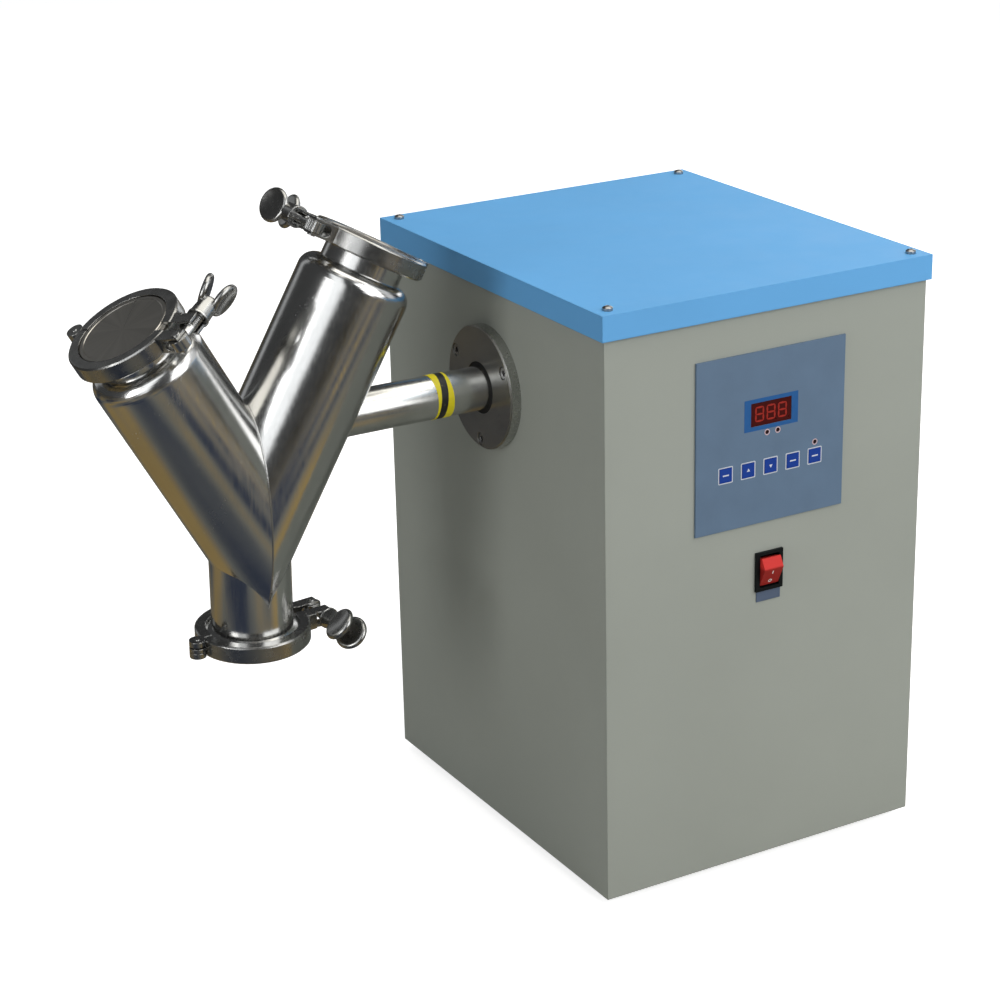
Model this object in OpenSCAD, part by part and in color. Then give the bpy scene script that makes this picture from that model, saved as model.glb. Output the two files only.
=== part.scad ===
// Bench powder mixer: a V-shaped steel drum turns on a shaft beside a sheet-steel cabinet.
// The origin is the middle of the cabinet's underside. +Z is up, the control panel faces -Y
// and the drum is carried outside the -X wall.

/* [Cabinet] */
// Width of the cabinet across its front
cabinet_w = 296; // [280:1:360]
// Depth of the cabinet from front to back
cabinet_d = 342; // [330:1:420]
// Height from the cabinet's underside to the top of its lid
cabinet_h = 480; // [460:1:560]
// Thickness of the folded sheet steel
sheet_t = 1.5; // [1:0.1:2.5]
// Width of the returns folded inwards at the top and the bottom
return_w = 18; // [14:1:26]
// Depth of the lid's skirt
lid_skirt = 20; // [12:1:32]
// Gap between the lid's skirt and the cabinet's walls
lid_gap = 1.6; // [0.6:0.1:2.4]
// Distance from the cabinet's walls to the lid screws
lid_screw_inset = 9; // [7:0.5:11]
// Thickness of the base plate
base_t = 2; // [1.5:0.5:4]
// Height of the rubber feet
foot_h = 8; // [5:1:20]
// Diameter of the rubber feet
foot_d = 30; // [20:1:40]
// Distance from the cabinet's walls to the middle of the feet
foot_inset = 44; // [36:1:56]

/* [Shaft and drive] */
// Distance from the lid's top down to the shaft's axis
shaft_drop = 100; // [84:1:110]
// Diameter of the drive shaft
shaft_d = 35; // [30:1:40]
// Diameter of the round flange on the cabinet's wall
flange_d = 100; // [96:1:120]
// Thickness of that flange
flange_t = 9; // [6:0.5:12]
// Diameter of the circle that its three screws lie on
flange_pcd = 86; // [84:0.5:88]
// Diameter of the flange screws
flange_screw_d = 6; // [4:1:6]
// Outer diameter of the shaft's two ball bearings
bearing_od = 72; // [66:1:72]
// Width of each ball bearing
bearing_w = 17; // [14:1:20]
// Length of the bearing housing inside the wall
housing_len = 78; // [66:1:84]
// Pitch diameter of the pulley on the drive shaft
large_pulley_d = 120; // [100:2:130]
// Pitch diameter of the pulley on the gearbox
small_pulley_d = 60; // [50:2:70]
// Width of the V-belt at its outer face
belt_w = 10; // [8:0.5:13]
// Height of the gearbox's output shaft above the cabinet's underside
gearbox_z = 120; // [110:1:140]

/* [Drum] */
// Distance from the cabinet's wall to the middle of the V
drum_reach = 212; // [205:1:260]
// Distance from the shaft's axis down to where the legs' axes cross
apex_drop = 66; // [56:1:72]
// Angle between each leg and the upright
leg_angle = 29; // [26:0.5:34]
// Outer diameter of the legs
leg_od = 88.9; // [84:0.1:96]
// Outer diameter of the necks and the outlet
neck_od = 63.5; // [60:0.1:66]
// Thickness of the drum's wall
drum_wall = 2; // [1.5:0.1:3]
// Length of the leg beside the cabinet, from the crossing of the axes to its clamp
inner_leg_len = 223; // [205:1:240]
// Length of the leg away from the cabinet, measured alike
outer_leg_len = 183; // [170:1:210]
// Length of the outlet, measured alike
outlet_len = 98; // [92:1:130]
// Length of each neck from the shoulder to the middle of its clamp
neck_rise = 18; // [16:0.5:26]
// Turn of the drum about its shaft as it stands
drum_tilt = 2.4; // [-8:0.1:8]
// Width of the striped tape round the shaft
tape_w = 14; // [8:1:24]
// Distance from the cabinet's wall to that tape
tape_reach = 41; // [20:1:48]

/* [Clamps and caps] */
// Outer diameter of the ferrules and caps
ferrule_od = 77.5; // [76.5:0.1:79]
// Thickness of a ferrule's rim
ferrule_t = 2.8; // [2:0.1:3.4]
// Thickness of the gasket between ferrule and cap
gasket_t = 2; // [1.5:0.1:2.6]
// Thickness of a cap at its middle
cap_t = 5.4; // [5:0.1:6.4]
// Outer diameter of a clamp's ring
clamp_od = 90; // [88:0.5:94]
// Width of a clamp's ring along the neck
clamp_w = 14; // [13.5:0.5:16]
// Clearance between a clamp's groove and the rims in it
clamp_gap = 0.3; // [0.2:0.05:0.5]
// Gap between the two halves of a clamp at its ears
ear_gap = 9; // [6:0.5:12]
// Thickness of a clamp's ears
ear_t = 10; // [8:0.5:12]
// Distance from the middle of a clamp to its swing bolt
bolt_reach = 60; // [58:0.5:64]
// Diameter of the swing bolt
bolt_d = 8; // [6:0.5:10]
// Thickness of the washer under a wing nut
washer_t = 1.6; // [1:0.1:2.5]
// Length of a wing nut's hub
nut_len = 15; // [12:0.5:17]
// Diameter of each of a wing nut's two round wings
wing_d = 27; // [22:0.5:28]
// Thickness of those wings at their rims
wing_t = 5; // [4:0.5:6]
// Distance between the middles of the two wings
wing_spread = 15; // [14:0.5:17]
// Angle by which each wing leans outwards
wing_lean = 11; // [6:0.5:14]
// Distance from the washer to the middles of the wings
wing_rise = 23; // [21:0.5:25]

/* [Front panel] */
// Width of the control panel
panel_w = 138; // [130:1:160]
// Height of the control panel
panel_h = 139; // [134:1:160]
// Distance from the lid's top down to the middle of the control panel
panel_drop = 120.5; // [104:0.5:130]
// Thickness of the control panel's plate
panel_t = 1.6; // [1:0.1:2]
// Width of the display window
display_w = 38; // [34:1:48]
// Height of the display window
display_h = 19; // [16:1:24]
// Distance from the middle of the panel up to the middle of the display
display_rise = 19.5; // [16:0.5:26]
// Size of each square key
key_w = 11.2; // [9:0.1:14]
// Distance between neighbouring keys
key_pitch = 20.9; // [18:0.1:24]
// Distance from the middle of the panel down to the row of keys
key_drop = 24; // [18:0.5:32]
// Travel of a key
key_travel = 0.8; // [0.4:0.1:1.2]
// Distance from the middle of the control panel down to the middle of the power switch
switch_drop = 111; // [98:0.5:120]
// Width of the power switch's bezel
switch_w = 25.4; // [24:0.1:30]
// Height of the power switch's bezel
switch_h = 32.6; // [32:0.1:38]
// Height of the small plate under the switch
label_h = 9; // [6:0.5:14]

/* [Back] */
// Distance from the middle of the back to the power inlet
inlet_x = 84; // [60:1:100]
// Height of the middle of the power inlet
inlet_z = 66; // [50:1:90]
// Length of the cooling slots in the back
slot_len = 70; // [40:1:90]
// Width of each cooling slot
slot_w = 5; // [3:0.5:7]
// Number of cooling slots
slot_count = 6; // [2:1:8]

/* [Hidden] */

$fn = 64;
eps = 0.01;
seat = 0.3;          // clear of a neighbour on another body
run_fit = 0.05;      // radial clearance of a part that turns on a pin or a shaft

// Cabinet faces
wall_x = -cabinet_w / 2;
front_y = -cabinet_d / 2;
back_y = cabinet_d / 2;
shell_top = cabinet_h - sheet_t;
shaft_z = cabinet_h - shaft_drop;
panel_z = cabinet_h - panel_drop;
switch_z = panel_z - switch_drop;
lid_screw_d = 4;
lid_screw_x = cabinet_w / 2 - lid_screw_inset;
lid_screw_y = cabinet_d / 2 - lid_screw_inset;
foot_peg_d = 5;
foot_x = cabinet_w / 2 - foot_inset;
foot_y = cabinet_d / 2 - foot_inset;

// Shaft, bearings and pulleys, along X from the wall
inner_wall_x = wall_x + sheet_t;
flange_x = wall_x - flange_t;
housing_end_x = inner_wall_x + housing_len;
housing_flange_t = 8;
housing_wall = 6;
bearing_lip = 4;
bearing_1_x = inner_wall_x + bearing_lip;
bearing_2_x = housing_end_x - bearing_lip - bearing_w;
race_t = 7;
pulley_w = belt_w + 10;
pulley_x = housing_end_x + 8;
belt_mid_x = pulley_x + pulley_w / 2;
shaft_end_x = pulley_x + pulley_w + 8;
belt_t = 8;
belt_bottom_w = belt_w - 4;
belt_entry = 1;       // how far the straight runs reach into the arcs
belt_inset = 0.03;    // how much slimmer they are there
belt_gap = 0.1;       // between the belt and each side of its groove

// Gearbox and motor
gearbox_w = 70;
gearbox_d = 80;
gearbox_drop = 60;
gearbox_rise = 40;
gearbox_x = pulley_x + pulley_w + 14;
output_d = 18;
motor_d = 84;
motor_len = 100;
motor_drop = 28;
stand_w = gearbox_w + 24;
stand_t = 3;
stand_d = gearbox_d + 20;
stand_back_y = gearbox_d / 2 - 5;
stand_foot_w = 16;
stand_bolt_inset = 12;
stand_bolt_d = 6;
drive_w = 70;
drive_len = 68;
drive_base_t = 8;
drive_case_top = 42;
drive_fin_top = 56;
drive_fin_t = 6;
drive_fin_pitch = 12;
drive_rim = 4;

// Drum
drum_x = wall_x - drum_reach;
apex_z = shaft_z - apex_drop;
leg_r = leg_od / 2;
neck_r = neck_od / 2;
cap_r = ferrule_od / 2;
rim_slope = tan(20);
shoulder_r = leg_r - neck_r;
shaft_meet_x = drum_x + (shaft_z - apex_z) * tan(leg_angle);

// Clamps
clamp_r = clamp_od / 2;
groove_r = cap_r + clamp_gap + 0.3;
lip_r = cap_r - 2.4;
rim_z = gasket_t / 2 + ferrule_t;
hinge_pin_d = 4;
hinge_reach = clamp_r + 4.5;
knuckle_r = 6.5;
knuckle_h = clamp_w / 3;
knuckle_gap = 0.2;
pivot_pin_d = 6;
eye_r = 7.5;
eye_h = 8;
fork_gap = eye_h + 0.8;
ear_w = clamp_w;
ear_tip = 8;
pivot_y = -(ear_gap + ear_t) / 2;
ear_face_y = ear_gap / 2 + ear_t;
ear_face_r = ear_face_y - pivot_y;
washer_y = ear_face_y + seat;
nut_y = washer_y + washer_t;
washer_r = bolt_d + 0.5;
bolt_end_y = nut_y + nut_len + 4;
wing_dish = 1.5;

// Clamp stations: length along the axis, turn of the ears about it, turned over or not, and
// the turn of the wing nut on its bolt
OUTER = [outer_leg_len, -62, 0, 140];
INNER = [inner_leg_len, -175, 180, 0];
OUTLET = [outlet_len, -7, 0, 45];

// Front panel
cutout_w = panel_w - 20;
cutout_h = panel_h - 20;
panel_x = 1;
display_z = panel_z + display_rise;
key_z = panel_z - key_drop;
key_t = 2.4;
key_proud = 0.5;
lamp_r = 1.6;
lamp_drop = display_h / 2 + 6.2;
lamp_spread = 10;
board_t = 1.6;
board_y = front_y + sheet_t + 6;
board_w = cutout_w - 4;
board_h = cutout_h - 4;
switch_x = 1.6;
bezel_t = 2.2;
rocker_w = 17.8;
rocker_h = 24;
rocker_pivot = 2;
body_h = switch_h - 3.6;
body_w = switch_w - 3.6;
switch_depth = 22;

// Back
inlet_w = 30;
inlet_h = 60;
inlet_t = 3;
inlet_body_w = 27;
inlet_body_h = 47;
inlet_depth = 30;
socket_w = 24.4;
socket_h = 16.8;
socket_depth = 21;
socket_rise = 9;
drawer_w = 20;
drawer_h = 10;
drawer_len = 22;
drawer_drop = 13;

module bar_x(d, x0, x1) {
    translate([x0, 0, 0]) rotate([0, 90, 0]) cylinder(d = d, h = x1 - x0);
}

module ring_x(od, id, x0, x1) {
    difference() {
        bar_x(od, x0, x1);
        bar_x(id, x0 - 1, x1 + 1);
    }
}

module block(x0, x1, y0, y1, z0, z1) {
    translate([x0, y0, z0]) cube([x1 - x0, y1 - y0, z1 - z0]);
}

module centred_block(w, d, h, x, y, z) {
    translate([x - w / 2, y - d / 2, z - h / 2]) cube([w, d, h]);
}

module at_corners(x, y, z = 0) {
    for (i = [-1, 1], j = [-1, 1]) translate([i * x, j * y, z]) children();
}

module at_shaft() {
    translate([0, 0, shaft_z]) children();
}

// Cabinet

module lid_screw_holes() {
    at_corners(lid_screw_x, lid_screw_y, shell_top - 2 * sheet_t)
        cylinder(d = lid_screw_d + 0.4, h = 4 * sheet_t);
}

module flange_screw_places() {
    for (a = [30, 150, 270])
        at_shaft() rotate([a, 0, 0]) translate([0, flange_pcd / 2, 0]) children();
}

module inlet_place() {
    translate([inlet_x, back_y, inlet_z]) children();
}

module cooling_slots() {
    for (i = [0 : slot_count - 1])
        centred_block(slot_len, 4 * sheet_t, slot_w,
            -inlet_x + 20, back_y, inlet_z + (i - (slot_count - 1) / 2) * 2.4 * slot_w);
}

module cabinet_shell() {
    color([0.62, 0.63, 0.58]) difference() {
        block(wall_x, -wall_x, front_y, back_y, 0, shell_top);
        block(wall_x + sheet_t, -wall_x - sheet_t, front_y + sheet_t, back_y - sheet_t,
            sheet_t, shell_top - sheet_t);
        for (z = [0, shell_top])
            centred_block(cabinet_w - 2 * return_w, cabinet_d - 2 * return_w, 4 * sheet_t, 0, 0, z);
        at_shaft() bar_x(shaft_d + 12, wall_x - 1, inner_wall_x + 1);
        flange_screw_places() bar_x(flange_screw_d + 0.6, wall_x - 1, inner_wall_x + 1);
        centred_block(cutout_w, 4 * sheet_t, cutout_h, panel_x, front_y, panel_z);
        centred_block(body_w + 0.4, 4 * sheet_t, body_h + 0.4, switch_x, front_y, switch_z);
        inlet_place() centred_block(inlet_body_w + 0.4, 4 * sheet_t, inlet_body_h + 0.4, 0, 0, 0);
        cooling_slots();
        lid_screw_holes();
        at_corners(foot_x, foot_y, -1) cylinder(d = 5.4, h = base_t + sheet_t + 2);
    }
}

module base_plate() {
    reach = 2;
    color([0.55, 0.56, 0.55]) difference() {
        block(wall_x + sheet_t + reach, -wall_x - sheet_t - reach,
            front_y + sheet_t + reach, back_y - sheet_t - reach, sheet_t, sheet_t + base_t);
        at_corners(foot_x, foot_y, 0) cylinder(d = 5.4, h = 10);
    }
}

module top_lid() {
    grow = lid_gap + sheet_t;
    color([0.36, 0.66, 0.9]) difference() {
        block(wall_x - grow, -wall_x + grow, front_y - grow, back_y + grow,
            cabinet_h - lid_skirt, cabinet_h);
        block(wall_x - lid_gap, -wall_x + lid_gap, front_y - lid_gap, back_y + lid_gap,
            cabinet_h - lid_skirt - 1, shell_top);
        lid_screw_holes();
    }
}

module lid_screws() {
    head_d = 8;
    head_h = 3.6;
    color([0.2, 0.2, 0.2]) at_corners(lid_screw_x, lid_screw_y, cabinet_h) difference() {
        union() {
            intersection() {
                cylinder(d = head_d, h = head_h);
                translate([0, 0, head_h - head_d * 0.75]) sphere(d = head_d * 1.5);
            }
            translate([0, 0, -8]) cylinder(d = lid_screw_d, h = 8);
        }
        translate([0, 0, head_h - 1.8]) cylinder(d = 2.9, h = 4, $fn = 6);
    }
}

module rubber_feet() {
    color([0.12, 0.12, 0.12]) at_corners(foot_x, foot_y, -foot_h) difference() {
        union() {
            cylinder(d1 = foot_d - 4, d2 = foot_d, h = foot_h);
            translate([0, 0, foot_h - eps]) cylinder(d = foot_peg_d, h = base_t + sheet_t + 2);
        }
        translate([0, 0, -1]) cylinder(d = 10, h = foot_h / 2);
    }
}

// Shaft, bearings and drive

module bearing_flange() {
    head_d = flange_screw_d * 1.7;
    color([0.62, 0.63, 0.6]) difference() {
        at_shaft() union() {
            bar_x(flange_d, flange_x + 1, wall_x);
            bar_x(flange_d - 2, flange_x, flange_x + 2);
        }
        at_shaft() bar_x(shaft_d + 7, flange_x - 1, wall_x + 1);
        flange_screw_places() bar_x(flange_screw_d + 0.4, flange_x - 1, wall_x + 1);
        flange_screw_places() bar_x(head_d + 0.6, flange_x - 1, flange_x + flange_screw_d);
    }
}

module flange_screws() {
    head_d = flange_screw_d * 1.7;
    head_x = flange_x + 0.8;
    color([0.35, 0.35, 0.36]) flange_screw_places() difference() {
        union() {
            bar_x(head_d, head_x, flange_x + flange_screw_d);
            bar_x(flange_screw_d, head_x, inner_wall_x + housing_flange_t);
        }
        translate([head_x - 1, 0, 0]) rotate([0, 90, 0])
            cylinder(d = flange_screw_d * 0.85, h = 4, $fn = 6);
    }
}

module shaft_seal() {
    color([0.08, 0.08, 0.08]) at_shaft()
        ring_x(shaft_d + 7, shaft_d + 0.1, flange_x + 1, wall_x);
}

module bearing_housing() {
    color([0.5, 0.52, 0.54]) difference() {
        at_shaft() union() {
            bar_x(flange_d, inner_wall_x, inner_wall_x + housing_flange_t);
            bar_x(bearing_od + 2 * housing_wall, inner_wall_x, housing_end_x);
        }
        at_shaft() bar_x(shaft_d + 12, inner_wall_x - 1, housing_end_x + 1);
        at_shaft() bar_x(bearing_od, bearing_1_x, bearing_1_x + bearing_w);
        at_shaft() bar_x(bearing_od, bearing_2_x, housing_end_x + 1);
        at_shaft() bar_x(bearing_od - 8, inner_wall_x + 2, housing_end_x + 1);
        flange_screw_places()
            bar_x(flange_screw_d, inner_wall_x - 1, inner_wall_x + housing_flange_t + 1);
    }
}

module bearing_places() {
    for (x = [bearing_1_x, bearing_2_x]) translate([x, 0, shaft_z]) children();
}

module bearing_outer_rings() {
    color([0.75, 0.76, 0.78]) bearing_places()
        ring_x(bearing_od, bearing_od - 2 * race_t, 0, bearing_w);
}

module bearing_inner_rings() {
    color([0.75, 0.76, 0.78]) bearing_places()
        ring_x(bearing_od - 2 * race_t - 2 * seat, shaft_d, 0, bearing_w);
}

module drive_shaft() {
    color([0.78, 0.79, 0.8]) drum_place() difference() {
        at_shaft() union() {
            bar_x(shaft_d, shaft_meet_x, shaft_end_x - 1);
            bar_x(shaft_d - 2, shaft_end_x - 2, shaft_end_x);
        }
        leg_place(1) translate([0, 0, -leg_r]) cylinder(r = leg_r, h = inner_leg_len);
        at_shaft() translate([0, 0, -1])
            centred_block(pulley_w + 9, 6, 6, belt_mid_x + 5, 0, shaft_d / 2 - 0.5);
    }
}

module marking_tape() {
    color([0.9, 0.85, 0.1]) at_shaft()
        ring_x(shaft_d + 0.6, shaft_d + 0.04, wall_x - tape_reach - tape_w, wall_x - tape_reach);
}

module pulley(pitch_d, bore_d) {
    outer_r = pitch_d / 2 + 4;
    root_r = pitch_d / 2 - belt_t;
    slope = (belt_w - belt_bottom_w) / 2 / belt_t;
    groove_half = function(r) belt_w / 2 + belt_gap + (r - pitch_d / 2 - 3) * slope;
    mid = pulley_w / 2;
    difference() {
        rotate([0, 90, 0]) rotate_extrude() difference() {
            translate([bore_d / 2, 0]) square([outer_r - bore_d / 2, pulley_w]);
            polygon([
                [outer_r + 1, mid - groove_half(outer_r + 1)], [outer_r + 1, mid + groove_half(outer_r + 1)],
                [root_r, mid + groove_half(root_r)], [root_r, mid - groove_half(root_r)]]);
        }
        if (pitch_d > 80)
            for (a = [0 : 72 : 288])
                rotate([a, 0, 0]) translate([0, 0, pitch_d * 0.28]) bar_x(pitch_d * 0.13, -1, pulley_w + 1);
    }
}

module large_pulley() {
    color([0.42, 0.43, 0.45]) translate([pulley_x, 0, shaft_z]) pulley(large_pulley_d, shaft_d);
}

module small_pulley() {
    color([0.42, 0.43, 0.45]) translate([pulley_x, 0, gearbox_z]) {
        pulley(small_pulley_d, output_d);
        bar_x(output_d, 0, gearbox_x - pulley_x + 10);
    }
}

// The belt's section: the radius along X, the belt's width along Y
function belt_section(pitch_r, inset) = [
    [pitch_r + 3 - belt_t + inset, belt_bottom_w / 2 - inset], [pitch_r + 3 - inset, belt_w / 2 - inset],
    [pitch_r + 3 - inset, -belt_w / 2 + inset], [pitch_r + 3 - belt_t + inset, -belt_bottom_w / 2 + inset]];

module belt_arc(pitch_r, z, from, sweep) {
    translate([belt_mid_x, 0, z]) rotate([0, 90, 0]) rotate([0, 0, from])
        rotate_extrude(angle = sweep) polygon(belt_section(pitch_r, 0));
}

module drive_belt() {
    big_r = large_pulley_d / 2;
    small_r = small_pulley_d / 2;
    centres = shaft_z - gearbox_z;
    lean = asin((big_r - small_r) / centres);
    run = sqrt(pow(centres, 2) - pow(big_r - small_r, 2));
    color([0.1, 0.1, 0.1]) union() {
        belt_arc(big_r, shaft_z, 90 - lean, 180 + 2 * lean);
        belt_arc(small_r, gearbox_z, -90 + lean, 180 - 2 * lean);
        for (side = [0, 1]) mirror([0, side, 0])
            translate([belt_mid_x, 0, gearbox_z]) rotate([-lean, 0, 0])
                translate([0, small_r, -belt_entry]) linear_extrude(run + 2 * belt_entry)
                    polygon([for (p = belt_section(0, belt_inset)) [p[1], p[0]]]);
    }
}

module gearbox() {
    x1 = gearbox_x + gearbox_w;
    color([0.35, 0.4, 0.45]) difference() {
        union() {
            block(gearbox_x, x1, -gearbox_d / 2, gearbox_d / 2,
                gearbox_z - gearbox_drop, gearbox_z + gearbox_rise);
            translate([0, 0, gearbox_z]) bar_x(gearbox_d - 16, gearbox_x - 4, x1 + 4);
            translate([gearbox_x + gearbox_w / 2, gearbox_d / 2 + 8, gearbox_z - motor_drop])
                rotate([90, 0, 0]) cylinder(d = motor_d, h = 12);
        }
        translate([0, 0, gearbox_z]) bar_x(output_d + 2 * run_fit, gearbox_x - 5, gearbox_x + 12);
        for (s = [-1, 1]) translate([gearbox_x + gearbox_w / 2 + s * gearbox_w * 0.4, 0, gearbox_z + gearbox_rise])
            centred_block(6, gearbox_d + 2, 12, 0, 0, 0);
    }
}

module motor() {
    rib_count = 24;
    y0 = gearbox_d / 2 + 8;
    color([0.25, 0.27, 0.3]) translate([gearbox_x + gearbox_w / 2, y0, gearbox_z - motor_drop])
    rotate([-90, 0, 0]) union() {
        cylinder(d = motor_d, h = 8);
        cylinder(d = motor_d - 10, h = motor_len - 2);
        for (i = [0 : rib_count - 1]) rotate([0, 0, i * 360 / rib_count])
            translate([motor_d / 2 - 8, -1, 4]) cube([6, 2, motor_len * 0.6]);
        translate([0, 0, motor_len * 0.68]) difference() {
            cylinder(d = motor_d, h = motor_len * 0.32);
            for (i = [0 : 5]) rotate([0, 0, i * 60]) translate([motor_d * 0.28, 0, motor_len * 0.32 - 2])
                cylinder(d = 12, h = 4);
        }
    }
}

module motor_stand() {
    x0 = gearbox_x + gearbox_w / 2 - stand_w / 2;
    x1 = x0 + stand_w;
    top = gearbox_z - gearbox_drop;
    floor_z = sheet_t + base_t;
    color([0.5, 0.5, 0.52]) difference() {
        union() {
            block(x0, x1, -stand_d / 2, stand_back_y, top - stand_t, top);
            for (x = [x0, x1 - stand_t])
                block(x, x + stand_t, -stand_d / 2, stand_back_y, floor_z, top);
            block(x0 - stand_foot_w, x0 + stand_t, -stand_d / 2, stand_back_y, floor_z, floor_z + stand_t);
            block(x1 - stand_t, x1 + stand_foot_w, -stand_d / 2, stand_back_y, floor_z, floor_z + stand_t);
        }
        for (x = [x0 - stand_foot_w / 2, x1 + stand_foot_w / 2],
             y = [-stand_d / 2 + stand_bolt_inset, stand_back_y - stand_bolt_inset])
            translate([x, y, floor_z - 1]) cylinder(d = stand_bolt_d, h = stand_t + 2);
    }
}

module speed_drive() {
    x1 = -wall_x - return_w - 6;
    x0 = x1 - drive_w;
    y0 = -foot_y + foot_peg_d;
    y1 = y0 + drive_len;
    floor_z = sheet_t + base_t;
    fins = 5;
    color([0.2, 0.3, 0.25]) union() {
        block(x0, x1, y0, y1, floor_z, floor_z + drive_base_t);
        block(x0 + drive_rim, x1 - drive_rim, y0 + drive_rim, y1 - drive_rim,
            floor_z + drive_base_t - eps, floor_z + drive_case_top);
        for (i = [0 : fins - 1])
            block(x0 + drive_rim + 2, x1 - drive_rim - 2,
                y0 + drive_fin_t + i * drive_fin_pitch, y0 + 2 * drive_fin_t + i * drive_fin_pitch,
                floor_z + drive_case_top - eps, floor_z + drive_fin_top);
    }
}

// Front panel

module key_places() {
    for (i = [-2 : 2]) translate([panel_x + i * key_pitch, 0, key_z]) children();
}

module lamp_places() {
    translate([panel_x, 0, display_z - lamp_drop]) {
        translate([-3.6, 0, 0]) children();
        translate([-3.6 + lamp_spread, 0, 0]) children();
    }
    translate([panel_x + 2 * key_pitch, 0, key_z + key_w]) children();
}

module control_panel() {
    color([0.4, 0.48, 0.58]) difference() {
        centred_block(panel_w, panel_t, panel_h, panel_x, front_y - panel_t / 2, panel_z);
        centred_block(display_w, 4 * panel_t, display_h, panel_x, front_y, display_z);
        key_places() centred_block(key_w + 2 * seat, 4 * panel_t, key_w + 2 * seat, 0, front_y, 0);
        lamp_places() translate([0, front_y + 1, 0]) rotate([90, 0, 0])
            cylinder(r = lamp_r + 0.1, h = panel_t + 2, $fn = 32);
    }
}

module display_window() {
    color([0.35, 0.03, 0.04]) union() {
        centred_block(display_w - 0.2, panel_t, display_h - 0.2, panel_x, front_y - panel_t / 2 + 0.4, display_z);
        block(panel_x - display_w / 2 - 2, panel_x + display_w / 2 + 2, front_y + 0.4 + eps - 0.1, board_y,
            display_z - display_h / 2 - 2, display_z + display_h / 2 + 2);
    }
}

module indicator_lamps() {
    color([0.3, 0.05, 0.05]) lamp_places() union() {
        translate([0, board_y, 0]) rotate([90, 0, 0]) cylinder(r = lamp_r, h = board_y - front_y + panel_t - 0.4, $fn = 32);
        translate([0, board_y, 0]) rotate([90, 0, 0]) cylinder(r = lamp_r + 0.4, h = 1.4, $fn = 32);
    }
}

module key(i) {
    color([0.1, 0.2, 0.62]) translate([panel_x + (i - 3) * key_pitch, front_y - panel_t - key_proud, key_z])
    union() {
        translate([-key_w / 2, 0, -key_w / 2]) cube([key_w, key_t, key_w]);
        translate([0, key_t - eps, 0]) rotate([-90, 0, 0]) cylinder(d = 4, h = 1.6);
    }
}

module control_board() {
    switch_face = front_y - panel_t - key_proud + key_t + 1.6 + key_travel + seat;
    color([0.1, 0.35, 0.2]) union() {
        centred_block(board_w, board_t, board_h, panel_x, board_y + board_t / 2, panel_z);
        key_places() translate([0, switch_face, 0]) {
            centred_block(6, board_y - switch_face + eps, 6, 0, (board_y - switch_face) / 2, 0);
        }
        for (i = [-1, 1], j = [-1, 1])
            translate([panel_x + i * (board_w / 2 - 4), board_y + eps, panel_z + j * (board_h / 2 - 4)])
                rotate([90, 0, 0]) cylinder(d = 6, h = board_y - front_y + eps);
        centred_block(60, 14, 40, panel_x, board_y + board_t + 7 - eps, panel_z);
    }
}

module rocker_bezel() {
    window_h = rocker_h + 3.2;
    color([0.05, 0.05, 0.05]) translate([switch_x, front_y, switch_z]) difference() {
        union() {
            centred_block(switch_w, bezel_t, switch_h, 0, -bezel_t / 2, 0);
            centred_block(body_w, switch_depth, body_h, 0, switch_depth / 2 - eps, 0);
        }
        centred_block(rocker_w + 2 * seat, 30, window_h, 0, -15 + 12, 0);
        translate([-body_w / 2 - 1, rocker_pivot, 0]) rotate([0, 90, 0]) cylinder(d = 3, h = body_w + 2);
    }
}

module rocker() {
    half = rocker_h / 2;
    color([0.85, 0.08, 0.08]) translate([switch_x, front_y, switch_z]) union() {
        translate([-rocker_w / 2, 0, 0]) rotate([90, 0, 90]) linear_extrude(rocker_w)
            polygon([[7, -half * 0.7], [-1, -half], [-8.4, half * 0.3], [-4, half * 0.98], [7, half * 0.7]]);
        translate([-body_w / 2, rocker_pivot, 0]) rotate([0, 90, 0])
            cylinder(d = 3 - 2 * run_fit, h = body_w);
    }
}

module switch_label() {
    color([0.32, 0.36, 0.42])
        centred_block(switch_w - 3, 0.8, label_h, switch_x, front_y - 0.4, switch_z - (switch_h + label_h) / 2);
}

// Power inlet

module power_inlet() {
    color([0.07, 0.07, 0.07]) inlet_place() difference() {
        union() {
            centred_block(inlet_w, inlet_t, inlet_h, 0, inlet_t / 2, 0);
            centred_block(inlet_body_w, inlet_depth, inlet_body_h, 0, -inlet_depth / 2 + eps, 0);
        }
        centred_block(socket_w, 2 * socket_depth, socket_h, 0, inlet_t, socket_rise);
        centred_block(drawer_w + 0.6, 60, drawer_h + 0.6, 0, inlet_t - drawer_len + 30 - seat, -drawer_drop);
        for (s = [-1, 1]) translate([0, -1, s * (inlet_h / 2 - 3.6)]) rotate([-90, 0, 0]) cylinder(d = 3.4, h = 8);
    }
}

module inlet_pins() {
    floor_y = inlet_t - socket_depth;
    blade = [[-7, -2], [7, -2], [0, 2.5]];
    color([0.8, 0.75, 0.5]) inlet_place() for (p = blade)
        centred_block(2, 15, 4, p[0], floor_y + 7.5 - 0.5 + 0.5, socket_rise + p[1]);
}

module fuse_drawer() {
    color([0.1, 0.1, 0.1]) inlet_place() difference() {
        union() {
            centred_block(drawer_w, drawer_len, drawer_h, 0, inlet_t - drawer_len / 2, -drawer_drop);
            centred_block(drawer_w + 2, 1.4, drawer_h + 2, 0, inlet_t + 0.8, -drawer_drop);
            centred_block(drawer_w - 2, 0.4, drawer_h - 2, 0, inlet_t, -drawer_drop);
            centred_block(8, 2, 2, 0, inlet_t + 2, -drawer_drop);
        }
        centred_block(drawer_w - 4, drawer_len - 4, drawer_h, 0, inlet_t - drawer_len / 2 - 1, -drawer_drop + 3);
    }
}

// Drum

module drum_place() {
    translate([0, 0, shaft_z]) rotate([drum_tilt, 0, 0]) translate([0, 0, -shaft_z]) children();
}

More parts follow.
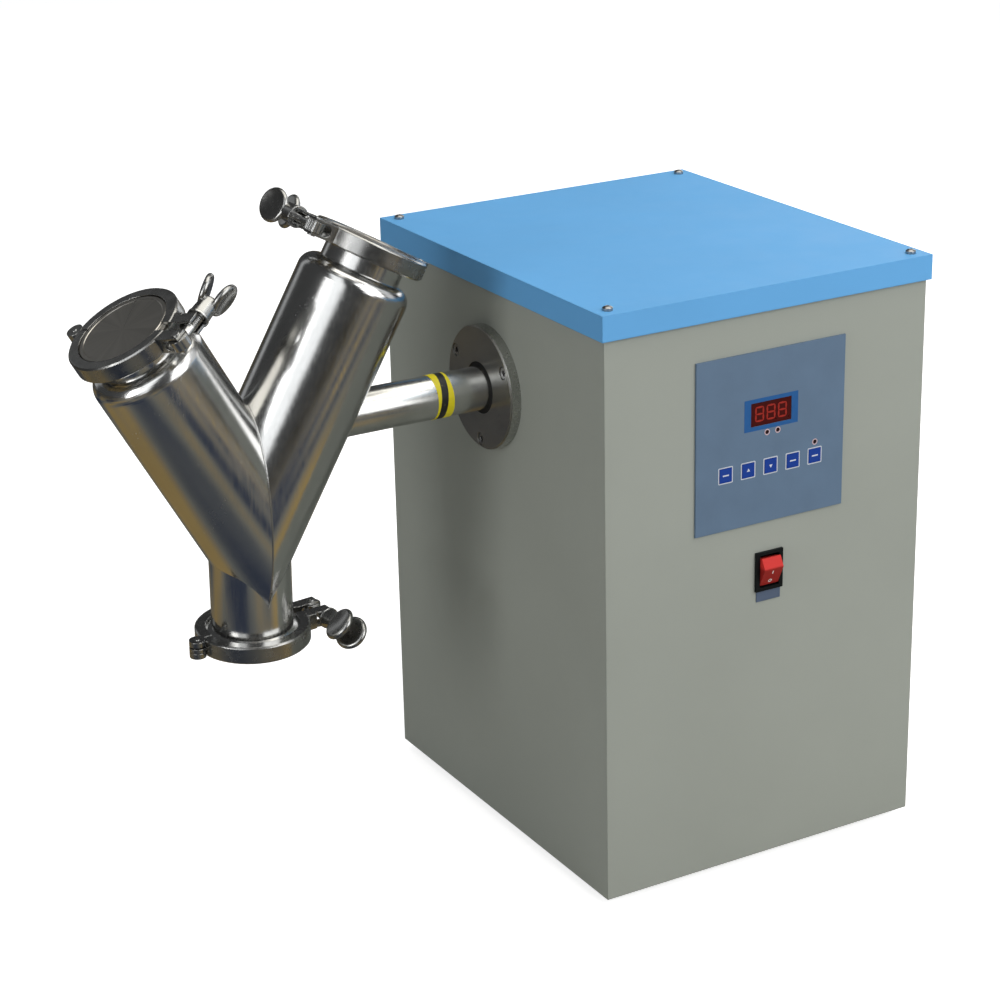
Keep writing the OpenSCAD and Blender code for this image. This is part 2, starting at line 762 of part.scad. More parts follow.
module leg_place(side) {
    translate([drum_x, 0, apex_z]) rotate([0, side * leg_angle, 0]) children();
}

module outlet_place() {
    translate([drum_x, 0, apex_z]) rotate([180, 0, 0]) children();
}

// A leg or the outlet as a solid of revolution, inset by the wall for its hollow
module leg_form(len, inset) {
    start = len - neck_rise - shoulder_r;
    top = len - gasket_t / 2;
    arc_r = shoulder_r - inset;
    rotate_extrude() polygon(concat(
        [[0, -1.2 * leg_r / sin(leg_angle)], [leg_r - inset, -1.2 * leg_r / sin(leg_angle)]],
        [for (a = [0 : 6 : 90]) [neck_r + arc_r * cos(a), start + arc_r * sin(a)]],
        inset > 0
            ? [[neck_r - inset, start + arc_r], [neck_r - inset, top + 1], [0, top + 1]]
            : rim_profile(top)));
}

// The flared rim that a clamp grips
function rim_profile(top) = [
    [neck_r, top - ferrule_t - (cap_r - neck_r) * rim_slope], [cap_r, top - ferrule_t],
    [cap_r, top], [0, top]];

module half_leg(side, len, inset) {
    intersection() {
        leg_place(side) leg_form(len, inset);
        translate([drum_x + side * 250, 0, apex_z]) cube([500, 300, 900], center = true);
    }
}

module outlet_form(inset) {
    top = outlet_len - gasket_t / 2;
    start = 18;
    outlet_place() rotate_extrude() polygon(concat(
        [[0, start - inset], [neck_r - inset, start - inset]],
        inset > 0 ? [[neck_r - inset, top + 1], [0, top + 1]] : rim_profile(top)));
}

module drum_form(inset) {
    union() {
        half_leg(1, inner_leg_len, inset);
        half_leg(-1, outer_leg_len, inset);
        outlet_form(inset);
    }
}

module drum_shell() {
    color([0.8, 0.8, 0.8]) drum_place() difference() {
        drum_form(0);
        drum_form(drum_wall);
    }
}

// Clamps. In a clamp's own frame the neck runs along +Z, the ears point to +X and the bolt to +Y.

module outer_place() { drum_place() leg_place(-1) station(OUTER) children(); }
module inner_place() { drum_place() leg_place(1) station(INNER) children(); }
module outlet_clamp_place() { drum_place() outlet_place() station(OUTLET) children(); }

module station(s) {
    translate([0, 0, s[0]]) rotate([0, 0, s[1]]) children();
}

module turn_over(s) {
    rotate([s[2], 0, 0]) children();
}

module cap() {
    bottom = gasket_t / 2;
    shelf = cap_r - 2.9;
    rotate_extrude() polygon([
        [0, bottom], [cap_r, bottom], [cap_r, bottom + ferrule_t],
        [shelf, bottom + ferrule_t + (cap_r - shelf) * rim_slope],
        [shelf, bottom + cap_t - 0.6], [shelf - 0.6, bottom + cap_t],
        [shelf - 3, bottom + cap_t], [shelf - 3.6, bottom + cap_t - 0.5], [0, bottom + cap_t - 0.5]]);
}

module gasket() {
    difference() {
        translate([0, 0, -gasket_t / 2]) cylinder(r = cap_r - 0.2, h = gasket_t);
        translate([0, 0, -gasket_t]) cylinder(r = neck_r - drum_wall, h = 2 * gasket_t);
    }
}

module clamp_ring() {
    half_w = clamp_w / 2;
    chamfer = 1.2;
    mouth_z = rim_z + clamp_gap / cos(20) - (groove_r - cap_r) * rim_slope;
    lip_z = mouth_z + (groove_r - lip_r) * rim_slope;
    rotate_extrude() polygon([
        [groove_r, -mouth_z], [lip_r, -lip_z], [lip_r, -half_w], [clamp_r - chamfer, -half_w],
        [clamp_r, -half_w + chamfer], [clamp_r, half_w - chamfer], [clamp_r - chamfer, half_w],
        [lip_r, half_w], [lip_r, lip_z], [groove_r, mouth_z]]);
}

module ear_plan(side) {
    near_y = side * ear_gap / 2;
    translate([clamp_r - 4, min(near_y, side * ear_face_y)]) square([bolt_reach + ear_tip - clamp_r, ear_t]);
}

// Half of the ring with its ear, on the side given
module clamp_half_blank(side) {
    half_gap = 0.5;
    union() {
        difference() {
            clamp_ring();
            translate([0, -side * 100 + side * half_gap, 0]) cube([300, 200, 60], center = true);
            translate([clamp_r, 0, 0]) cube([clamp_r, ear_gap, 60], center = true);
        }
        difference() {
            translate([0, 0, -ear_w / 2 + 0.6]) linear_extrude(ear_w - 1.2) ear_plan(side);
            cylinder(r = clamp_r - 1.5, h = 60, center = true);
        }
    }
}

module fork_slot(x0) {
    translate([x0, -50, -fork_gap / 2]) cube([60, 100, fork_gap]);
    translate([x0, 0, 0]) rotate([90, 0, 0]) cylinder(d = fork_gap, h = 100, center = true);
}

module knuckle(z0, z1, r) {
    translate([-hinge_reach, 0, z0]) cylinder(r = r, h = z1 - z0);
}

module clamp_fixed_half() {
    difference() {
        union() {
            clamp_half_blank(-1);
            for (s = [-1, 1]) translate([0, 0, s * knuckle_h]) knuckle(-knuckle_h / 2, knuckle_h / 2, knuckle_r);
        }
        knuckle(-knuckle_h / 2 - knuckle_gap, knuckle_h / 2 + knuckle_gap, knuckle_r + 0.4);
        translate([-hinge_reach, 0, 0]) cylinder(d = hinge_pin_d, h = 60, center = true);
        cylinder(r = groove_r, h = 2 * rim_z, center = true);
        fork_slot(bolt_reach - eye_r - 0.6);
        translate([bolt_reach, pivot_y, 0]) cylinder(d = pivot_pin_d, h = 60, center = true);
    }
}

module clamp_swing_half() {
    difference() {
        union() {
            intersection() {
                clamp_half_blank(1);
                union() {
                    translate([bolt_reach, pivot_y, 0]) cylinder(r = ear_face_r, h = 60, center = true);
                    translate([bolt_reach - washer_r - 1.5 - 100, 0, 0]) cube([200, 3 * clamp_r, 60], center = true);
                }
            }
            knuckle(-knuckle_h / 2, knuckle_h / 2, knuckle_r);
        }
        for (s = [-1, 1]) translate([0, 0, s * knuckle_h])
            knuckle(-knuckle_h / 2 - knuckle_gap, knuckle_h / 2 + knuckle_gap + 1, knuckle_r + 0.4);
        translate([-hinge_reach, 0, 0]) cylinder(d = hinge_pin_d + 2 * run_fit, h = 60, center = true);
        cylinder(r = groove_r, h = 2 * rim_z, center = true);
        fork_slot(bolt_reach - bolt_d / 2 - 1.2);
    }
}

module clamp_pins() {
    translate([-hinge_reach, 0, 0]) cylinder(d = hinge_pin_d, h = clamp_w + 1, center = true);
    translate([bolt_reach, pivot_y, 0]) cylinder(d = pivot_pin_d, h = clamp_w + 0.6, center = true);
}

module swing_bolt() {
    translate([bolt_reach, pivot_y, 0]) difference() {
        union() {
            cylinder(r = eye_r, h = eye_h, center = true);
            rotate([-90, 0, 0]) cylinder(d = bolt_d, h = bolt_end_y - pivot_y - 1);
            rotate([-90, 0, 0]) cylinder(d = bolt_d - 2, h = bolt_end_y - pivot_y);
        }
        cylinder(d = pivot_pin_d + 2 * run_fit, h = 2 * eye_h, center = true);
    }
}

module washer() {
    translate([bolt_reach, washer_y, 0]) rotate([-90, 0, 0]) difference() {
        cylinder(r = washer_r, h = washer_t);
        translate([0, 0, -1]) cylinder(d = bolt_d + 2 * run_fit, h = washer_t + 2);
    }
}

// A round wing with a full-round rim, lying flat, dished on its upper face
module wing() {
    rim_r = wing_d / 2 - wing_t / 2;
    dish_edge_r = rim_r + 0.2;
    dish_r = (dish_edge_r * dish_edge_r + wing_dish * wing_dish) / (2 * wing_dish);
    rotate_extrude() difference() {
        union() {
            translate([0, -wing_t / 2]) square([rim_r, wing_t]);
            translate([rim_r, 0]) circle(d = wing_t);
        }
        translate([0, wing_t / 2 + dish_r - wing_dish]) circle(r = dish_r);
        translate([-wing_d, -wing_t]) square([wing_d, 2 * wing_t]);
    }
}

// In the wing nut's own frame its bolt runs along +Z and its wings stand to either side along X
module wing_nut() {
    hub_r = bolt_d;
    difference() {
        union() {
            cylinder(r1 = hub_r, r2 = hub_r - 0.8, h = nut_len);
            for (s = [-1, 1]) translate([s * wing_spread / 2, 0, wing_rise])
                rotate([0, s * (90 + wing_lean), 0]) wing();
        }
        translate([0, 0, -1]) cylinder(d = bolt_d + 2 * run_fit, h = wing_rise + wing_d);
    }
}

module nut_place(s) {
    translate([bolt_reach, nut_y, 0]) rotate([0, -s[3], 0]) rotate([-90, 0, 0]) children();
}

module steel() { color([0.7, 0.71, 0.72]) children(); }
module cast() { color([0.6, 0.61, 0.62]) children(); }
module rubber() { color([0.9, 0.9, 0.88]) children(); }

cabinet_shell();
base_plate();
top_lid();
lid_screws();
rubber_feet();
bearing_flange();
flange_screws();
shaft_seal();
bearing_housing();
bearing_outer_rings();
drive_belt();
gearbox();
motor();
motor_stand();
speed_drive();
control_board();
display_window();
indicator_lamps();
control_panel();
rocker_bezel();
switch_label();
power_inlet();
inlet_pins();
fuse_drawer();
rocker();
key(1);  // key_1
key(2);  // key_2
key(3);  // key_3
key(4);  // key_4
key(5);  // key_5
small_pulley();
drive_shaft();
bearing_inner_rings();
large_pulley();
marking_tape();
drum_shell();
outer_place() steel() cap();  // outer_cap
outer_place() rubber() gasket();  // outer_gasket
outer_place() turn_over(OUTER) cast() clamp_fixed_half();  // outer_clamp_fixed_half
outer_place() turn_over(OUTER) cast() clamp_swing_half();  // outer_clamp_swing_half
outer_place() turn_over(OUTER) steel() clamp_pins();  // outer_clamp_pins
outer_place() turn_over(OUTER) steel() swing_bolt();  // outer_swing_bolt
outer_place() turn_over(OUTER) steel() washer();  // outer_washer
outer_place() turn_over(OUTER) nut_place(OUTER) cast() wing_nut();  // outer_wing_nut
inner_place() steel() cap();  // inner_cap
inner_place() rubber() gasket();  // inner_gasket
inner_place() turn_over(INNER) cast() clamp_fixed_half();  // inner_clamp_fixed_half
inner_place() turn_over(INNER) cast() clamp_swing_half();  // inner_clamp_swing_half
inner_place() turn_over(INNER) steel() clamp_pins();  // inner_clamp_pins
inner_place() turn_over(INNER) steel() swing_bolt();  // inner_swing_bolt
inner_place() turn_over(INNER) steel() washer();  // inner_washer
inner_place() turn_over(INNER) nut_place(INNER) cast() wing_nut();  // inner_wing_nut
outlet_clamp_place() steel() cap();  // outlet_cap
outlet_clamp_place() rubber() gasket();  // outlet_gasket
outlet_clamp_place() cast() clamp_fixed_half();  // outlet_clamp_fixed_half
outlet_clamp_place() cast() clamp_swing_half();  // outlet_clamp_swing_half
outlet_clamp_place() steel() clamp_pins();  // outlet_clamp_pins
outlet_clamp_place() steel() swing_bolt();  // outlet_swing_bolt
outlet_clamp_place() steel() washer();  // outlet_washer
outlet_clamp_place() nut_place(OUTLET) cast() wing_nut();  // outlet_wing_nut
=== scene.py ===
"""Looks of a bench powder mixer: a V-shaped steel drum on a shaft beside a blue-lidded cabinet."""

import math

import bmesh
import bpy
from mathutils import Euler, Matrix, Vector


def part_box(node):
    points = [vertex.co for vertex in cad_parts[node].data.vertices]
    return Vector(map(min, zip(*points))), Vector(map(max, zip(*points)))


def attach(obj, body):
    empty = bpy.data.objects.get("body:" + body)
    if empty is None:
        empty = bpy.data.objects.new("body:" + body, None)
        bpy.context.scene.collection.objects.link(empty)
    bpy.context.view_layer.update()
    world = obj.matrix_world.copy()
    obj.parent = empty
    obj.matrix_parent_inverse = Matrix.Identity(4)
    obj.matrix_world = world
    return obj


bl_info = {
    "name": "Bench powder mixer",
    "version": (1, 0, 0),
    "blender": (4, 5, 0),
    "location": "View3D > Sidebar > Mixer",
    "description": "Dresses the packed frame of a bench powder mixer with its finishes and small pieces",
    "category": "Object",
}

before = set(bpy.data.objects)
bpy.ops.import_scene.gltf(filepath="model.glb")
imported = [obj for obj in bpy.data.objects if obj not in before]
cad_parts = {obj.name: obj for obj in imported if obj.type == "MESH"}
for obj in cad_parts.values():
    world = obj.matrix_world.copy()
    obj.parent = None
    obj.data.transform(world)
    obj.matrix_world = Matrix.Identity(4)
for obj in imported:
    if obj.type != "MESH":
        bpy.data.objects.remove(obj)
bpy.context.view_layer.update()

MM = 0.001


def middle_of(node):
    """The middle of a node's box."""
    low, high = (Vector(v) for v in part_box(node))
    return (low + high) / 2


# The drum's layout, in metres and degrees, as the frame has it
SHAFT_Z = 0.380
DRUM_X = -0.360
APEX_Z = 0.314
LEG_ANGLE = 29.0
LEG_R = 0.04445
NECK_R = 0.03175
DRUM_TILT = 2.4
STATIONS = {  # turn that points the opening's axis up, distance along it, turn of the ears
    "outer": (Euler((0, math.radians(-LEG_ANGLE), 0)), 0.183, -62.0),
    "inner": (Euler((0, math.radians(LEG_ANGLE), 0)), 0.223, -175.0),
    "outlet": (Euler((math.pi, 0, 0)), 0.098, -7.0),
}
WELD_SIDES = 8
WELD_STEPS = 160
WELD_END = 1 * MM  # how far the seam runs in under the outlet's neck

# The marking tape: its lean off the shaft, and where its yellow edges start across half its width
TAPE_LEAN_Y = 7.0
TAPE_LEAN_Z = -5.0
TAPE_EDGE = 0.42

# Wave texture scales of turned rings and of the bolts' thread, whose pitch is 1.5 mm
RING_SCALE = 420
THREAD_SCALE = 209
THREAD_START = 4 * MM  # from the eye's middle, where the thread fades in
THREAD_FULL = 5 * MM

# The control panel, its display and its keys
PANEL_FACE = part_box("control_panel")[0][1]
WINDOW_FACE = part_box("display_window")[0][1]
WINDOW_MIDDLE = middle_of("display_window")
OPENING_WIDTH = 38 * MM
OPENING_HEIGHT = 19 * MM
OVERLAP = 0.1 * MM  # what the frame's end strips have over, so that they run into its rim
DIGIT_PITCH = 10.6 * MM
DIGIT_WIDTH = 0.55  # share of a digit's height
BAR_WIDTH = 0.13  # share of a digit's height
KEYS = ["key_%d" % number for number in range(1, 6)]
UP_KEY, DOWN_KEY = KEYS[1:3]
KEY_GAP = 0.3 * MM
RIM_CORNER = 0.9 * MM
ARROW_R = 1.7 * MM
DASH = (5.6 * MM, 1.1 * MM)
LAMP_REACH = 6 * MM  # vertices nearer than this are one lamp's
LAMP_DOME = 0.1 * MM  # depth behind their foremost point that still counts as the lamps' faces
LAMP_RIM_R = 2.5 * MM
LAMP_R = 1.75 * MM
THIN_PRINT = 0.05 * MM
KEY_PRINT = 0.06 * MM
RING_SIDES = 32

# The rocker: its pivot above its middle, its lower face about the pivot, and the marks on it
BODY_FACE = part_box("cabinet_shell")[0][1]
PIVOT_RISE = 0.1 * MM
ROCKER_RIDGE = Vector((0, -8.4, 3.6)) * MM
ROCKER_FOOT = Vector((0, -1, -12)) * MM
# Painted shade on the rocker: between these heights its red goes from half bright to full
ROCKER_SHADE = (2.5 * MM, 5 * MM)  # heights over its middle between which the red turns bright
MARK_REACH = 4.6 * MM
MARK_BAR = (0.9 * MM, 3.0 * MM)
MARK_RING = (1.7 * MM, 1.0 * MM)

# Tones that no setting holds, as linear red, green and blue
CAST_TONE = (0.4, 0.4, 0.39)
BRIGHT_TONE = (0.55, 0.55, 0.54)
CAP_TONE = (0.5, 0.48, 0.44)
SILICONE_TONE = (0.82, 0.82, 0.8)
SCREW_TONE = (0.35, 0.35, 0.35)
SOCKET_TONE = (0.42, 0.42, 0.42)
ZINC_TONE = (0.55, 0.57, 0.58)
FEET_TONE = (0.02, 0.02, 0.02)
FLANGE_TONE = (0.5, 0.5, 0.48)
SHAFT_TONE = (0.62, 0.62, 0.6)
BELT_TONE = (0.012, 0.012, 0.012)
IRON_TONE = (0.3, 0.31, 0.32)
MOTOR_TONE = (0.045, 0.055, 0.07)
TAPE_YELLOW = (0.92, 0.78, 0.01)
TAPE_BLACK = (0.012, 0.012, 0.012)
TAPE_DUST = (0.5, 0.45, 0.2)
WINDOW_TONE = (0.06, 0.0025, 0.0025)
LENS_TONE = (0.02, 0.003, 0.003)
BOARD_TONE = (0.02, 0.14, 0.05)
FRAME_TONE = (0.004, 0.095, 0.31)
DIGIT_TONE = (0.26, 0.012, 0.006)
PRINT_TONE = (0.62, 0.65, 0.72)
LAMP_RIM_TONE = (0.62, 0.45, 0.48)
BLACK_TONE = (0.004, 0.006, 0.007)
LABEL_TONE = (0.085, 0.12, 0.19)
BRASS_TONE = (0.7, 0.62, 0.4)
MARK_TONE = (0.8, 0.75, 0.74)

# The stage: the floor's tones and glow, the studio's light, its windows and lamps, and the camera
FLOOR_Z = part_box("rubber_feet")[0][2]
FLOOR_HALF = 20
FLOOR_GREY = (0.5, 0.5, 0.49)
FLOOR_WHITE = (0.8, 0.8, 0.8)
FLOOR_GLOW = 0.76
PATCH_SCALE = 1.6
PATCHES = ((0.38, (0.035, 0.045, 0.075)), (0.5, (0.17, 0.175, 0.165)), (0.62, (0.36, 0.26, 0.11)))
WHITE = (1, 1, 1)
SKY_TONE = (0.96, 0.98, 1)
SKY_STRENGTH = 0.27
ROOM_FRONT = 0.065
ROOM_BACK = 0.055
WINDOW_FADE = 4.0  # degrees over which a window's edge fades, each way
WINDOWS = (  # direction, half width and half height in degrees, strength
    ((-0.8, -0.58, 0.2), 13, 40, 1.5),
    ((-0.3, 0.95, 0.2), 6, 24, 0.4),
    ((0.95, -0.3, 0.3), 12, 30, 0.8),
    ((0.25, -0.97, 0.45), 5, 22, 0.7),
)
LAMP_AIM = Vector((-0.15, 0, 0.25))
LAMPS = (  # name, place, width, height, power, tint
    ("key_lamp", (0.9, -2.1, 1.5), 2.2, 2.2, 42, WHITE),
    ("top_lamp", (0.3, -0.1, 2.3), 1.8, 1.8, 22, (1, 0.97, 0.9)),
    ("side_lamp", (-2.6, -0.6, 0.9), 0.7, 1.2, 13, WHITE),
    ("rear_lamp", (2.3, 1.6, 1.1), 1.8, 1.6, 15, WHITE),
)
CAMERA_PLACE = (-1.07529, -1.6545, 0.99954)
CAMERA_TURN = (1.20952, 0.021643, -0.522354)
CAMERA_LENS = 90.77
CAMERA_SENSOR = 36
CAMERA_FAR = 60


def drum_turn():
    """The drum's turn about its shaft as it stands."""
    axis = Vector((0, 0, SHAFT_Z))
    tilt = Matrix.Rotation(math.radians(DRUM_TILT), 4, "X")
    return Matrix.Translation(axis) @ tilt @ Matrix.Translation(-axis)


def station(name):
    """The matrix that carries an opening's own frame, axis along +Z, to its place."""
    turn, reach, ears = STATIONS[name]
    return (
        drum_turn()
        @ Matrix.Translation((DRUM_X, 0, APEX_Z))
        @ turn.to_matrix().to_4x4()
        @ Matrix.Translation((0, 0, reach))
        @ Matrix.Rotation(math.radians(ears), 4, "Z")
    )


# Materials


class NodeTree:
    """Adds nodes to a material's or the world's tree and links them."""

    NOISE_BAND = (0.3, 0.7)  # where nearly all of a noise texture's values lie
    MIX_COLOURS = (6, 7)  # the Mix node's inputs and output for colours
    MIX_RESULT = 2

    def __init__(self, tree):
        self.tree = tree

    def node(self, kind, values=(), **attributes):
        """A new node with its settings, and its sockets' values by name."""
        made = self.tree.nodes.new(kind)
        for key, value in attributes.items():
            setattr(made, key, value)
        for key, value in dict(values).items():
            made.inputs[key].default_value = value
        return made

    def link(self, source, target):
        self.tree.links.new(source, target)

    def maths(self, operation, *values):
        """The result of a Math node on sockets or numbers."""
        made = self.node("ShaderNodeMath", operation=operation)
        for target, value in zip(made.inputs, values):
            if isinstance(value, float):
                target.default_value = value
            else:
                self.link(value, target)
        return made.outputs[0]

    def split(self, vector):
        """A vector's X, Y and Z, by name."""
        made = self.node("ShaderNodeSeparateXYZ")
        self.link(vector, made.inputs[0])
        return made.outputs

    def noise(self, vector, scale, detail=3.0, roughness=0.5):
        """Noise from 0 to 1, finer with its scale."""
        made = self.node("ShaderNodeTexNoise", {"Scale": scale, "Detail": detail, "Roughness": roughness})
        self.link(vector, made.inputs["Vector"])
        return made.outputs["Fac"]

    def spread(self, value, low, high, out_low=0.0, out_high=1.0):
        """Carries one range of values onto another and stops at its ends."""
        limits = {"From Min": low, "From Max": high, "To Min": out_low, "To Max": out_high}
        made = self.node("ShaderNodeMapRange", limits)
        self.link(value, made.inputs["Value"])
        return made.outputs["Result"]

    def mix(self, factor, first, second):
        """A colour between two, each a socket or a tone."""
        made = self.node("ShaderNodeMix", data_type="RGBA")
        self.link(factor, made.inputs["Factor"])
        for index, value in zip(self.MIX_COLOURS, (first, second)):
            if isinstance(value, tuple):
                made.inputs[index].default_value = (*value, 1)
            else:
                self.link(value, made.inputs[index])
        return made.outputs[self.MIX_RESULT]

    def ramp(self, value, stops, interpolation="LINEAR"):
        """Tones that follow a value, from stops of a position and a tone."""
        made = self.node("ShaderNodeValToRGB")
        made.color_ramp.interpolation = interpolation
        for position, _ in stops[1:-1]:
            made.color_ramp.elements.new(position)
        for element, (position, tone) in zip(made.color_ramp.elements, stops):
            element.position = position
            element.color = (*tone, 1)
        self.link(value, made.inputs["Fac"])
        return made.outputs["Color"]

    def mixed(self, factor, first, second):
        """One of two shaders, or some of each."""
        pick = self.node("ShaderNodeMixShader")
        self.link(factor, pick.inputs[0])
        self.link(first.outputs[0], pick.inputs[1])
        self.link(second.outputs[0], pick.inputs[2])
        return pick


class Finish(NodeTree):
    """Builds a node material step by step around one Principled shader."""

    def __init__(self, name, colour, roughness, metallic=0.0, **sockets):
        self.material = bpy.data.materials.new(name)
        self.material.use_nodes = True
        super().__init__(self.material.node_tree)
        self.shader = self.tree.nodes["Principled BSDF"]
        self.base = colour
        self.set("Base Color", (*colour, 1))
        self.set("Roughness", roughness)
        self.set("Metallic", metallic)
        for socket, value in sockets.items():
            self.set(socket.replace("_", " "), value)

    def set(self, socket, value):
        self.shader.inputs[socket].default_value = value

    def place(self, matrix=None, scale=None):
        """Object coordinates, carried into a piece's own frame and stretched if asked."""
        out = self.node("ShaderNodeTexCoord").outputs["Object"]
        if matrix is not None:
            inverse = matrix.inverted()
            carried = {"Location": inverse.to_translation(), "Rotation": inverse.to_euler()}
            mapping = self.node("ShaderNodeMapping", carried, vector_type="POINT")
            self.link(out, mapping.inputs["Vector"])
            out = mapping.outputs["Vector"]
        if scale is not None:
            stretch = self.node("ShaderNodeMapping", {"Scale": scale})
            self.link(out, stretch.inputs["Vector"])
            out = stretch.outputs["Vector"]
        return out

    def colour(self, value):
        self.link(value, self.shader.inputs["Base Color"])

    def roughness(self, value):
        self.link(value, self.shader.inputs["Roughness"])

    def varied(self, vector, scale, amount):
        """Lets the base colour drift a little over the surface."""
        drift = self.spread(self.noise(vector, scale, detail=4), *self.NOISE_BAND)
        self.colour(self.mix(drift, scaled(self.base, 1 - amount), scaled(self.base, 1 + amount)))

    def uneven(self, noise, smoothest, roughest):
        """Lets the roughness follow a noise."""
        self.roughness(self.spread(noise, *self.NOISE_BAND, smoothest, roughest))

    def bump(self, height, distance, strength, rounding=0.0):
        """Relief from a height, over edges rounded to a radius if asked."""
        made = self.node("ShaderNodeBump", {"Distance": distance, "Strength": strength})
        self.link(height, made.inputs["Height"])
        if rounding:
            bevel = self.node("ShaderNodeBevel", {"Radius": rounding}, samples=4)
            self.link(bevel.outputs["Normal"], made.inputs["Normal"])
        self.link(made.outputs["Normal"], self.shader.inputs["Normal"])


def scaled(colour, factor):
    """A tone made lighter or darker."""
    return tuple(min(1.0, c * factor) for c in colour)


def powder_coat(name, colour, roughness):
    """Powder-coated sheet steel: a fine orange-peel grain and a slight drift of tone."""
    finish = Finish(name, colour, roughness, Specular_IOR_Level=0.3)
    where = finish.place()
    finish.varied(where, scale=6, amount=0.03)
    finish.uneven(finish.noise(where, scale=30), roughness - 0.05, roughness + 0.07)
    finish.bump(finish.noise(where, 900, detail=2), 0.06 * MM, strength=0.35, rounding=1.2 * MM)
    return finish.material


def polished_steel(name, tone):
    """Polished stainless sheet: faint rubbing marks along it, clouded patches and slight dents."""
    finish = Finish(name, tone, roughness=0.16, metallic=1.0)
    where = finish.place(drum_turn())
    streaks = finish.noise(finish.place(drum_turn(), scale=(220, 220, 14)), 3, detail=5, roughness=0.65)
    clouds = finish.noise(where, 16, detail=5, roughness=0.6)
    finish.varied(where, scale=9, amount=0.1)
    rubbed = finish.spread(streaks, *finish.NOISE_BAND, 0.08, 0.2)
    clouded = finish.spread(clouds, 0.35, 0.75, 0.0, 0.12)
    finish.roughness(finish.maths("ADD", rubbed, clouded))
    dents = finish.noise(where, 12, detail=2, roughness=0.4)
    finish.bump(finish.maths("MULTIPLY_ADD", streaks, 0.05, dents), 1.2 * MM, strength=0.35)
    return finish.material


def cast_steel(name, tone, roughness, grain=260):
    """Tumble-polished casting: rounded edges and a soft uneven skin."""
    finish = Finish(name, tone, roughness, metallic=1.0)
    where = finish.place()
    finish.varied(where, scale=60, amount=0.08)
    finish.uneven(finish.noise(where, 120, detail=4), roughness - 0.05, roughness + 0.07)
    finish.bump(finish.noise(where, grain), 0.07 * MM, strength=0.2, rounding=0.9 * MM)
    return finish.material


def turned_steel(name, tone, matrix, roughness=0.25):
    """Turned or faced steel: fine rings about the axis of its own frame."""
    finish = Finish(name, tone, roughness, metallic=1.0)
    where = finish.place(matrix)
    rings = finish.node(
        "ShaderNodeTexWave",
        {"Scale": RING_SCALE, "Distortion": 2.5, "Detail": 3, "Detail Scale": 2},
        wave_type="RINGS", rings_direction="Z", wave_profile="SIN",
    )
    finish.link(where, rings.inputs["Vector"])
    finish.varied(where, scale=40, amount=0.08)
    finish.roughness(finish.spread(rings.outputs["Fac"], 0, 1, roughness - 0.06, roughness + 0.1))
    finish.bump(rings.outputs["Fac"], 0.04 * MM, strength=0.4, rounding=0.5 * MM)
    return finish.material


def threaded_steel(name, tone, matrix):
    """A bolt's steel, with thread turns along the Y axis of its own frame beyond the eye."""
    finish = Finish(name, tone, roughness=0.24, metallic=1.0)
    where = finish.place(matrix)
    turns = finish.node(
        "ShaderNodeTexWave", {"Scale": THREAD_SCALE, "Distortion": 0.0},
        wave_type="BANDS", bands_direction="Y", wave_profile="SIN",
    )
    finish.link(where, turns.inputs["Vector"])
    shank = finish.spread(finish.split(where)["Y"], THREAD_START, THREAD_FULL)
    finish.varied(where, scale=60, amount=0.1)
    depth = finish.maths("MULTIPLY", turns.outputs["Fac"], shank)
    finish.bump(depth, 0.5 * MM, strength=0.8, rounding=0.4 * MM)
    return finish.material


def cap_steel(name, tone, matrix):
    """A cap's disc: faced steel with the fan of rubbing marks that shows across it."""
    finish = Finish(name, tone, roughness=0.28, metallic=1.0)
    where = finish.split(finish.place(matrix))
    angle = finish.maths("ARCTAN2", where["Y"], where["X"])
    fan = finish.node(
        "ShaderNodeTexNoise", {"Scale": 3, "Detail": 4, "Roughness": 0.6}, noise_dimensions="1D")
    finish.link(angle, fan.inputs["W"])
    shine = finish.spread(fan.outputs["Fac"], 0.35, 0.65)
    finish.colour(finish.mix(shine, scaled(tone, 0.93), scaled(tone, 1.06)))
    finish.uneven(fan.outputs["Fac"], 0.27, 0.32)
    finish.bump(fan.outputs["Fac"], 0.01 * MM, strength=0.1, rounding=0.5 * MM)
    return finish.material


def plastic(name, colour, roughness, **sockets):
    """Moulded plastic with a fine skin."""
    finish = Finish(name, colour, roughness, **sockets)
    where = finish.place()
    finish.varied(where, scale=40, amount=0.05)
    finish.uneven(finish.noise(where, 150), roughness - 0.04, roughness + 0.06)
    finish.bump(finish.noise(where, 1500, detail=2), 0.03 * MM, strength=0.4, rounding=0.4 * MM)
    return finish.material


def rubber(name, colour):
    """Dull rubber with a grain."""
    finish = Finish(name, colour, roughness=0.75)
    where = finish.place()
    finish.varied(where, scale=60, amount=0.2)
    finish.bump(finish.noise(where, 900), 0.12 * MM, strength=0.5, rounding=0.5 * MM)
    return finish.material


def striped_tape(name):
    """Marking tape wound a little askew: black between two yellow edges."""
    low, high = (Vector(v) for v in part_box("marking_tape"))
    lean = (
        Matrix.Translation((low + high) / 2)
        @ Matrix.Rotation(math.radians(TAPE_LEAN_Y), 4, "Y")
        @ Matrix.Rotation(math.radians(TAPE_LEAN_Z), 4, "Z")
    )
    finish = Finish(name, TAPE_YELLOW, roughness=0.42)
    where = finish.place(lean)
    away = finish.maths("ABSOLUTE", finish.split(where)["X"])
    across = finish.spread(away, 0, (high.x - low.x) / 2)
    stripes = finish.ramp(across, ((0.0, TAPE_BLACK), (TAPE_EDGE, TAPE_YELLOW)), "CONSTANT")
    worn = finish.noise(where, 300)
    finish.colour(finish.mix(finish.spread(worn, 0.6, 0.75, 0, 0.25), stripes, TAPE_DUST))
    finish.bump(worn, 0.05 * MM, strength=0.4)
    return finish.material


